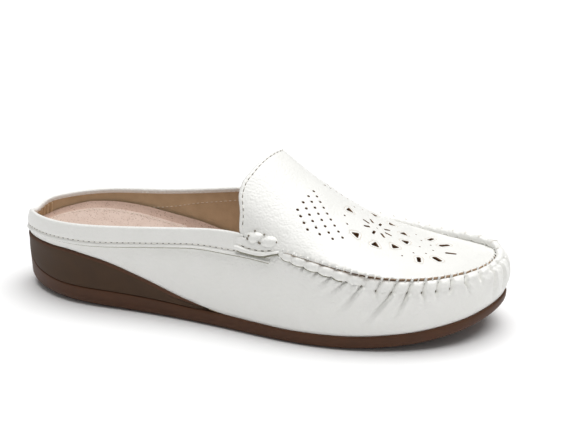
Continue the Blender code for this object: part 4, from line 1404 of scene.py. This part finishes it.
# The rim's rings take the paler finish, a painted highlight along the wedge's top edge.
make_piece("heel_wedge_foam", points, faces, [wedge_foam, wedge_rim_highlight], "wedge_foam", "heel_wedge",
           (rung >= rim_from) & (rung < rim_from + len(RIM) - 1))

# %% [markdown]
# ## Insole and heel pad
# The pigskin insole is cemented to the footbed and turns up a little where it meets the lining.
# A softer pad sits under the heel, held by an arc of cream stitches, so it is its own cushion.

# %% Insole
# How high the footbed cups up at its edge: walk from the heel, medial side, lateral side.
CUP = ((0.0, 1.4, 1.4), (0.02, 2.6, 2.4), (0.04, 5.2, 3.5), (0.06, 7.2, 4.0), (0.12, 7.8, 4.0), (0.18, 8.4, 3.8),
       (0.22, 6.6, 3.8), (0.3, 2.5, 2.5), (0.5, 1.2, 1.2))
CUP_WALK, CUP_MEDIAL, CUP_LATERAL = np.array(CUP).T
CUP_WIDTH = 20.0
edge_walk = np.linspace(0, 1, 1601)[:-1]
edge_plan = sole_edge(edge_walk)[0]


def footbed_ring(plan, rise):
    """Points at a rise over the cupped footbed, anywhere in plan."""
    gap = np.linalg.norm(plan[:, None] - edge_plan, axis=2)
    nearest = np.argmin(gap, axis=1)
    from_wall = np.clip((gap[np.arange(len(plan)), nearest] - 3.0) / CUP_WIDTH, 0, 1)
    walk = edge_walk[nearest]
    from_heel = np.minimum(walk, 1 - walk)
    cup = np.where(walk > 0.5, np.interp(from_heel, CUP_WALK, CUP_MEDIAL), np.interp(from_heel, CUP_WALK, CUP_LATERAL))
    return np.c_[plan, level("footbed", plan[:, 0]) + cup * (1 - from_wall) ** 1.8 + rise]


rings = [level_ring("footbed", 14.0, -1.5), level_ring("footbed", 3.6, -1.5)]
rings += [footbed_ring(sole_edge(sole_walk, inset)[0], rise) for inset, rise in (
    (3.0, -1.0), (2.75, -0.3), (2.85, 0.15), (3.3, 0.3), (4.0, 0.15), (5.0, 0.0), (6.5, 0.0),
    (8.5, 0.0), (11.0, 0.0), (14.0, 0.0), (17.5, 0.0), (21.0, 0.0))]
make_piece("pigskin_insole", *loft(np.array(rings)), [insole_skin], "insole_leather", "insole")

# %% Heel pad
def pad_edge(inset):
    """Plan of the pad: the heel's edge, closed by a curved front."""
    edge = sole_edge(np.linspace(-0.165, 0.165, 170), 7.8 + inset)[0]
    y = np.linspace(edge[-1, 1], edge[0, 1], 62)[1:-1]
    across = (y - edge[0, 1]) / (edge[-1, 1] - edge[0, 1])
    bow = (9 - inset) * np.sin(pi * np.clip(across, 0, 1)) ** 0.7
    return np.vstack([edge, np.c_[edge[-1, 0] + (edge[0, 0] - edge[-1, 0]) * (1 - across) + bow, y]])


rings = [footbed_ring(pad_edge(inset), rise) for inset, rise in (
    (12.0, -0.4), (8.0, -0.4), (5.0, -0.4), (2.2, -0.4), (0.8, -0.4), (0.2, 0.0), (0.0, 0.4), (0.3, 0.85), (1.0, 1.1),
    (2.2, 0.95), (3.2, 1.05), (5.0, 1.35), (8.0, 1.5), (12.0, 1.5))]
last_plan = rings[-1][:, :2]
centre = last_plan.mean(axis=0)
for share in (0.6, 0.25, 0.02):
    inner = centre + (last_plan - centre) * share
    rings = [footbed_ring(inner, -0.4), *rings, footbed_ring(inner, 1.5)]
heel_pad = make_piece("heel_pad", *loft(np.array(rings)), [pad_skin_painted_lighter], "insole_leather")

# %% [markdown]
# ## Stitches
# Hundreds of stitches run round the band, the throat, the tabs, the lining and the pad. Each is
# a short pinched bead of thread, so one low bead is instanced along every row by Geometry Nodes,
# turned along the row and flat to the leather.

# %% Stitch tree
stitch_tree, given = empty_tree("stitches", Length=("Float", 0.002), Width=("Float", 0.0006),
                                Material=("Material", None))
bead = shape_node(stitch_tree, "MeshUVSphere", {"Segments": 8, "Rings": 6, "Radius": 0.5})
along, out = (attribute(stitch_tree, label, "FLOAT_VECTOR") for label in ("along", "out"))
ALIGN = "FunctionNodeAlignRotationToVector"
along_row = add_node(stitch_tree, ALIGN, {"Vector": along}, axis="X").outputs[0]
flat_down = add_node(stitch_tree, ALIGN, {"Rotation": along_row, "Vector": out}, axis="Z", pivot_axis="X").outputs[0]
bead_size = add_node(stitch_tree, "ShaderNodeCombineXYZ", {0: given["Length"], 1: given["Width"], 2: given["Width"]})
laid = shape_node(stitch_tree, "InstanceOnPoints", {
    "Points": given["Geometry"], "Instance": bead, "Rotation": flat_down, "Scale": bead_size.outputs[0]})
end_tree(stitch_tree, laid, given["Material"])


def spaced(path, normals, pitch, shift=0.0):
    """Evenly spaced points on a path, with the row's direction and normal at each."""
    length = np.r_[0, np.cumsum(np.linalg.norm(np.diff(path, axis=0), axis=1))]
    at = np.arange(pitch * (0.5 + shift), length[-1] - pitch * shift, pitch)

    def read(values, where):
        return np.stack([np.interp(where, length, values[:, k]) for k in range(3)], axis=1)

    return read(path, at), unit(read(path, at + 0.3) - read(path, at - 0.3)), unit(read(normals, at))


def beads(name, points, along, out, length, width, finish):
    """One piece of beads at points, long along one direction and flat to the other."""
    grown_piece(name, stitch_tree, points, {"along": along, "out": out}, "upper_leather",
                Length=length * MM, Width=width * MM, Material=finish)


def stitch_rows(name, rows, length, width, finish, shift=0.0):
    """One piece of stitches from rows of (path, normals, pitch); shift 0.5 puts them between the stitches."""
    laid_out = [spaced(*row, shift) for row in rows]
    beads(name, *(np.vstack([row[k] for row in laid_out]) for k in range(3)), length, width, finish)


def wall_row(walk, drop, height):
    """Path and normals of a row on the wall."""
    drop = np.broadcast_to(drop, len(walk))
    return wall_point(walk, drop, height), wall_normal(walk, climb_at(walk, drop))


print("stitch tree has", len(stitch_tree.nodes), "nodes")

# %% Rows of stitches
band_walk = np.linspace(-BAND_END + 0.002, BAND_END - 0.002, 900)
band_row = (*wall_row(band_walk, 0.8 * band_depth(band_walk), BAND - 0.17), 3.1)
stitch_rows("collar_stitches", [band_row], 2.1, 0.6, white_thread)
# Dark beads between the collar stitches are painted shade in the needle holes.
stitch_rows("collar_needle_hole_shades", [band_row], 1.1, 0.34, needle_hole_shade, 0.5)
bead_path, bead_out = wall_row(np.linspace(-CORNER, CORNER, 900), 1.55, -1.93)
stitch_rows("bead_stitches", [(bead_path, -bead_out, 2.6)], 1.7, 0.4, white_thread)

throat_b = np.linspace(-half_width(0, -1) + 3, half_width(0, 1) - 3, 500)
throat_row = (*chart_point(np.full(500, 1.5), throat_b, -0.02), 3.15)
stitch_rows("throat_stitches", [throat_row], 1.6, 0.55, white_thread)
# Dark beads between the throat stitches are painted shade in the needle holes.
stitch_rows("throat_needle_hole_shades", [throat_row], 1.8, 0.42, needle_hole_shade, 0.5)

tab_reach = np.linspace(-1.9, 18.4, 200)
top, row, bottom = read_table(TAB, tab_reach)
row = np.minimum(row, bottom - 0.9)
row_height = tab_height(row, top, row, bottom) + 0.05
tab_rows = [(*wall_row(side_walk(tab_reach, side), row, row_height), 3.3) for side in (-1, 1)]
stitch_rows("tab_stitches", tab_rows, 1.7, 0.6, white_thread)
# Dark beads between the tab stitches are painted shade in the needle holes.
stitch_rows("tab_needle_slots", tab_rows, 1.8, 0.42, needle_hole_shade, 0.5)

from_heel = np.linspace(0.11, CORNER - 0.004, 300)
lining_drop = np.interp(from_heel, (0.11, 0.14, 0.175, 0.25), (10.4, 9.8, 7.6, 6.2))
lining_rows = []
for walk in (from_heel, 1 - from_heel):
    path, out = wall_row(walk, lining_drop, -WALL_LEATHER - 0.1 - LINING - 0.05)
    lining_rows.append((path, -out, 2.6))
stitch_rows("lining_stitches", lining_rows, 1.7, 0.5, cream_thread)

pad_path = footbed_ring(pad_edge(1.8), 1.0)
pad_path = np.vstack([pad_path, pad_path[:1]])
stitch_rows("pad_stitches", [(pad_path, np.broadcast_to(UP, pad_path.shape), 2.7)], 1.5, 0.5, cream_thread)

# %% Painted shade in the holes where the lace dives in
lace_hole_shades = []
deep = VALLEY_REACH > 30
for valley, pit, hand in zip(VALLEYS[deep], PIT[deep], HAND[deep]):
    across = np.array([-pit + 0.4, -pit, -pit - 0.4])
    walk = sheared(valley, hand, across)
    line = over_seam(walk, across, leather_height(walk, -across) + 0.05)
    lace_hole_shades.append((line[1], unit(line[2] - line[0]), wall_normal(walk, climb_at(walk, -across))[1]))
beads("lace_hole_shades", *map(np.array, zip(*lace_hole_shades)), 1.5, 0.8, needle_hole_shade)

# Holes among the puffs, each a dark bead of painted shade: along, across.
PUFF_HOLES = ((5.9, 3.9), (10.6, 3.7), (16.6, 2.7), (17.2, 2.4), (3.9, 1.2), (3.3, -0.6), (3.9, -0.9), (9.2, -0.8),
              (9.8, -0.9))
puff_hole_shades = []
for side in (-1, 1):
    for reach, across in PUFF_HOLES:
        walk = np.full(3, side_walk(reach, side))
        size, middle = read_table(PUFFS, reach)
        offset = (across - middle) / (3.2 * size ** 0.6)
        height = 0.4 + 2.9 * size * np.sqrt(np.clip(1 - offset ** 2, 0, 1))
        height = max(height, BAND + 1.45 if across < 0 else plug_lift(walk)[1] * 0.6 + 0.4)
        line = over_seam(walk, np.array([across - 0.3, across, across + 0.3]), height)
        out = over_seam(walk, across, height + 0.3)[1] - line[1]
        puff_hole_shades.append((line[1], unit(line[2] - line[0]), unit(out)))
beads("puff_hole_shades", *map(np.array, zip(*puff_hole_shades)), 1.1, 0.95, needle_hole_shade)

# %% [markdown]
# ## End
# The visual model has to stay inside the CAD box but for what leather may stand proud.

# %% Finish
print("the scene is built")
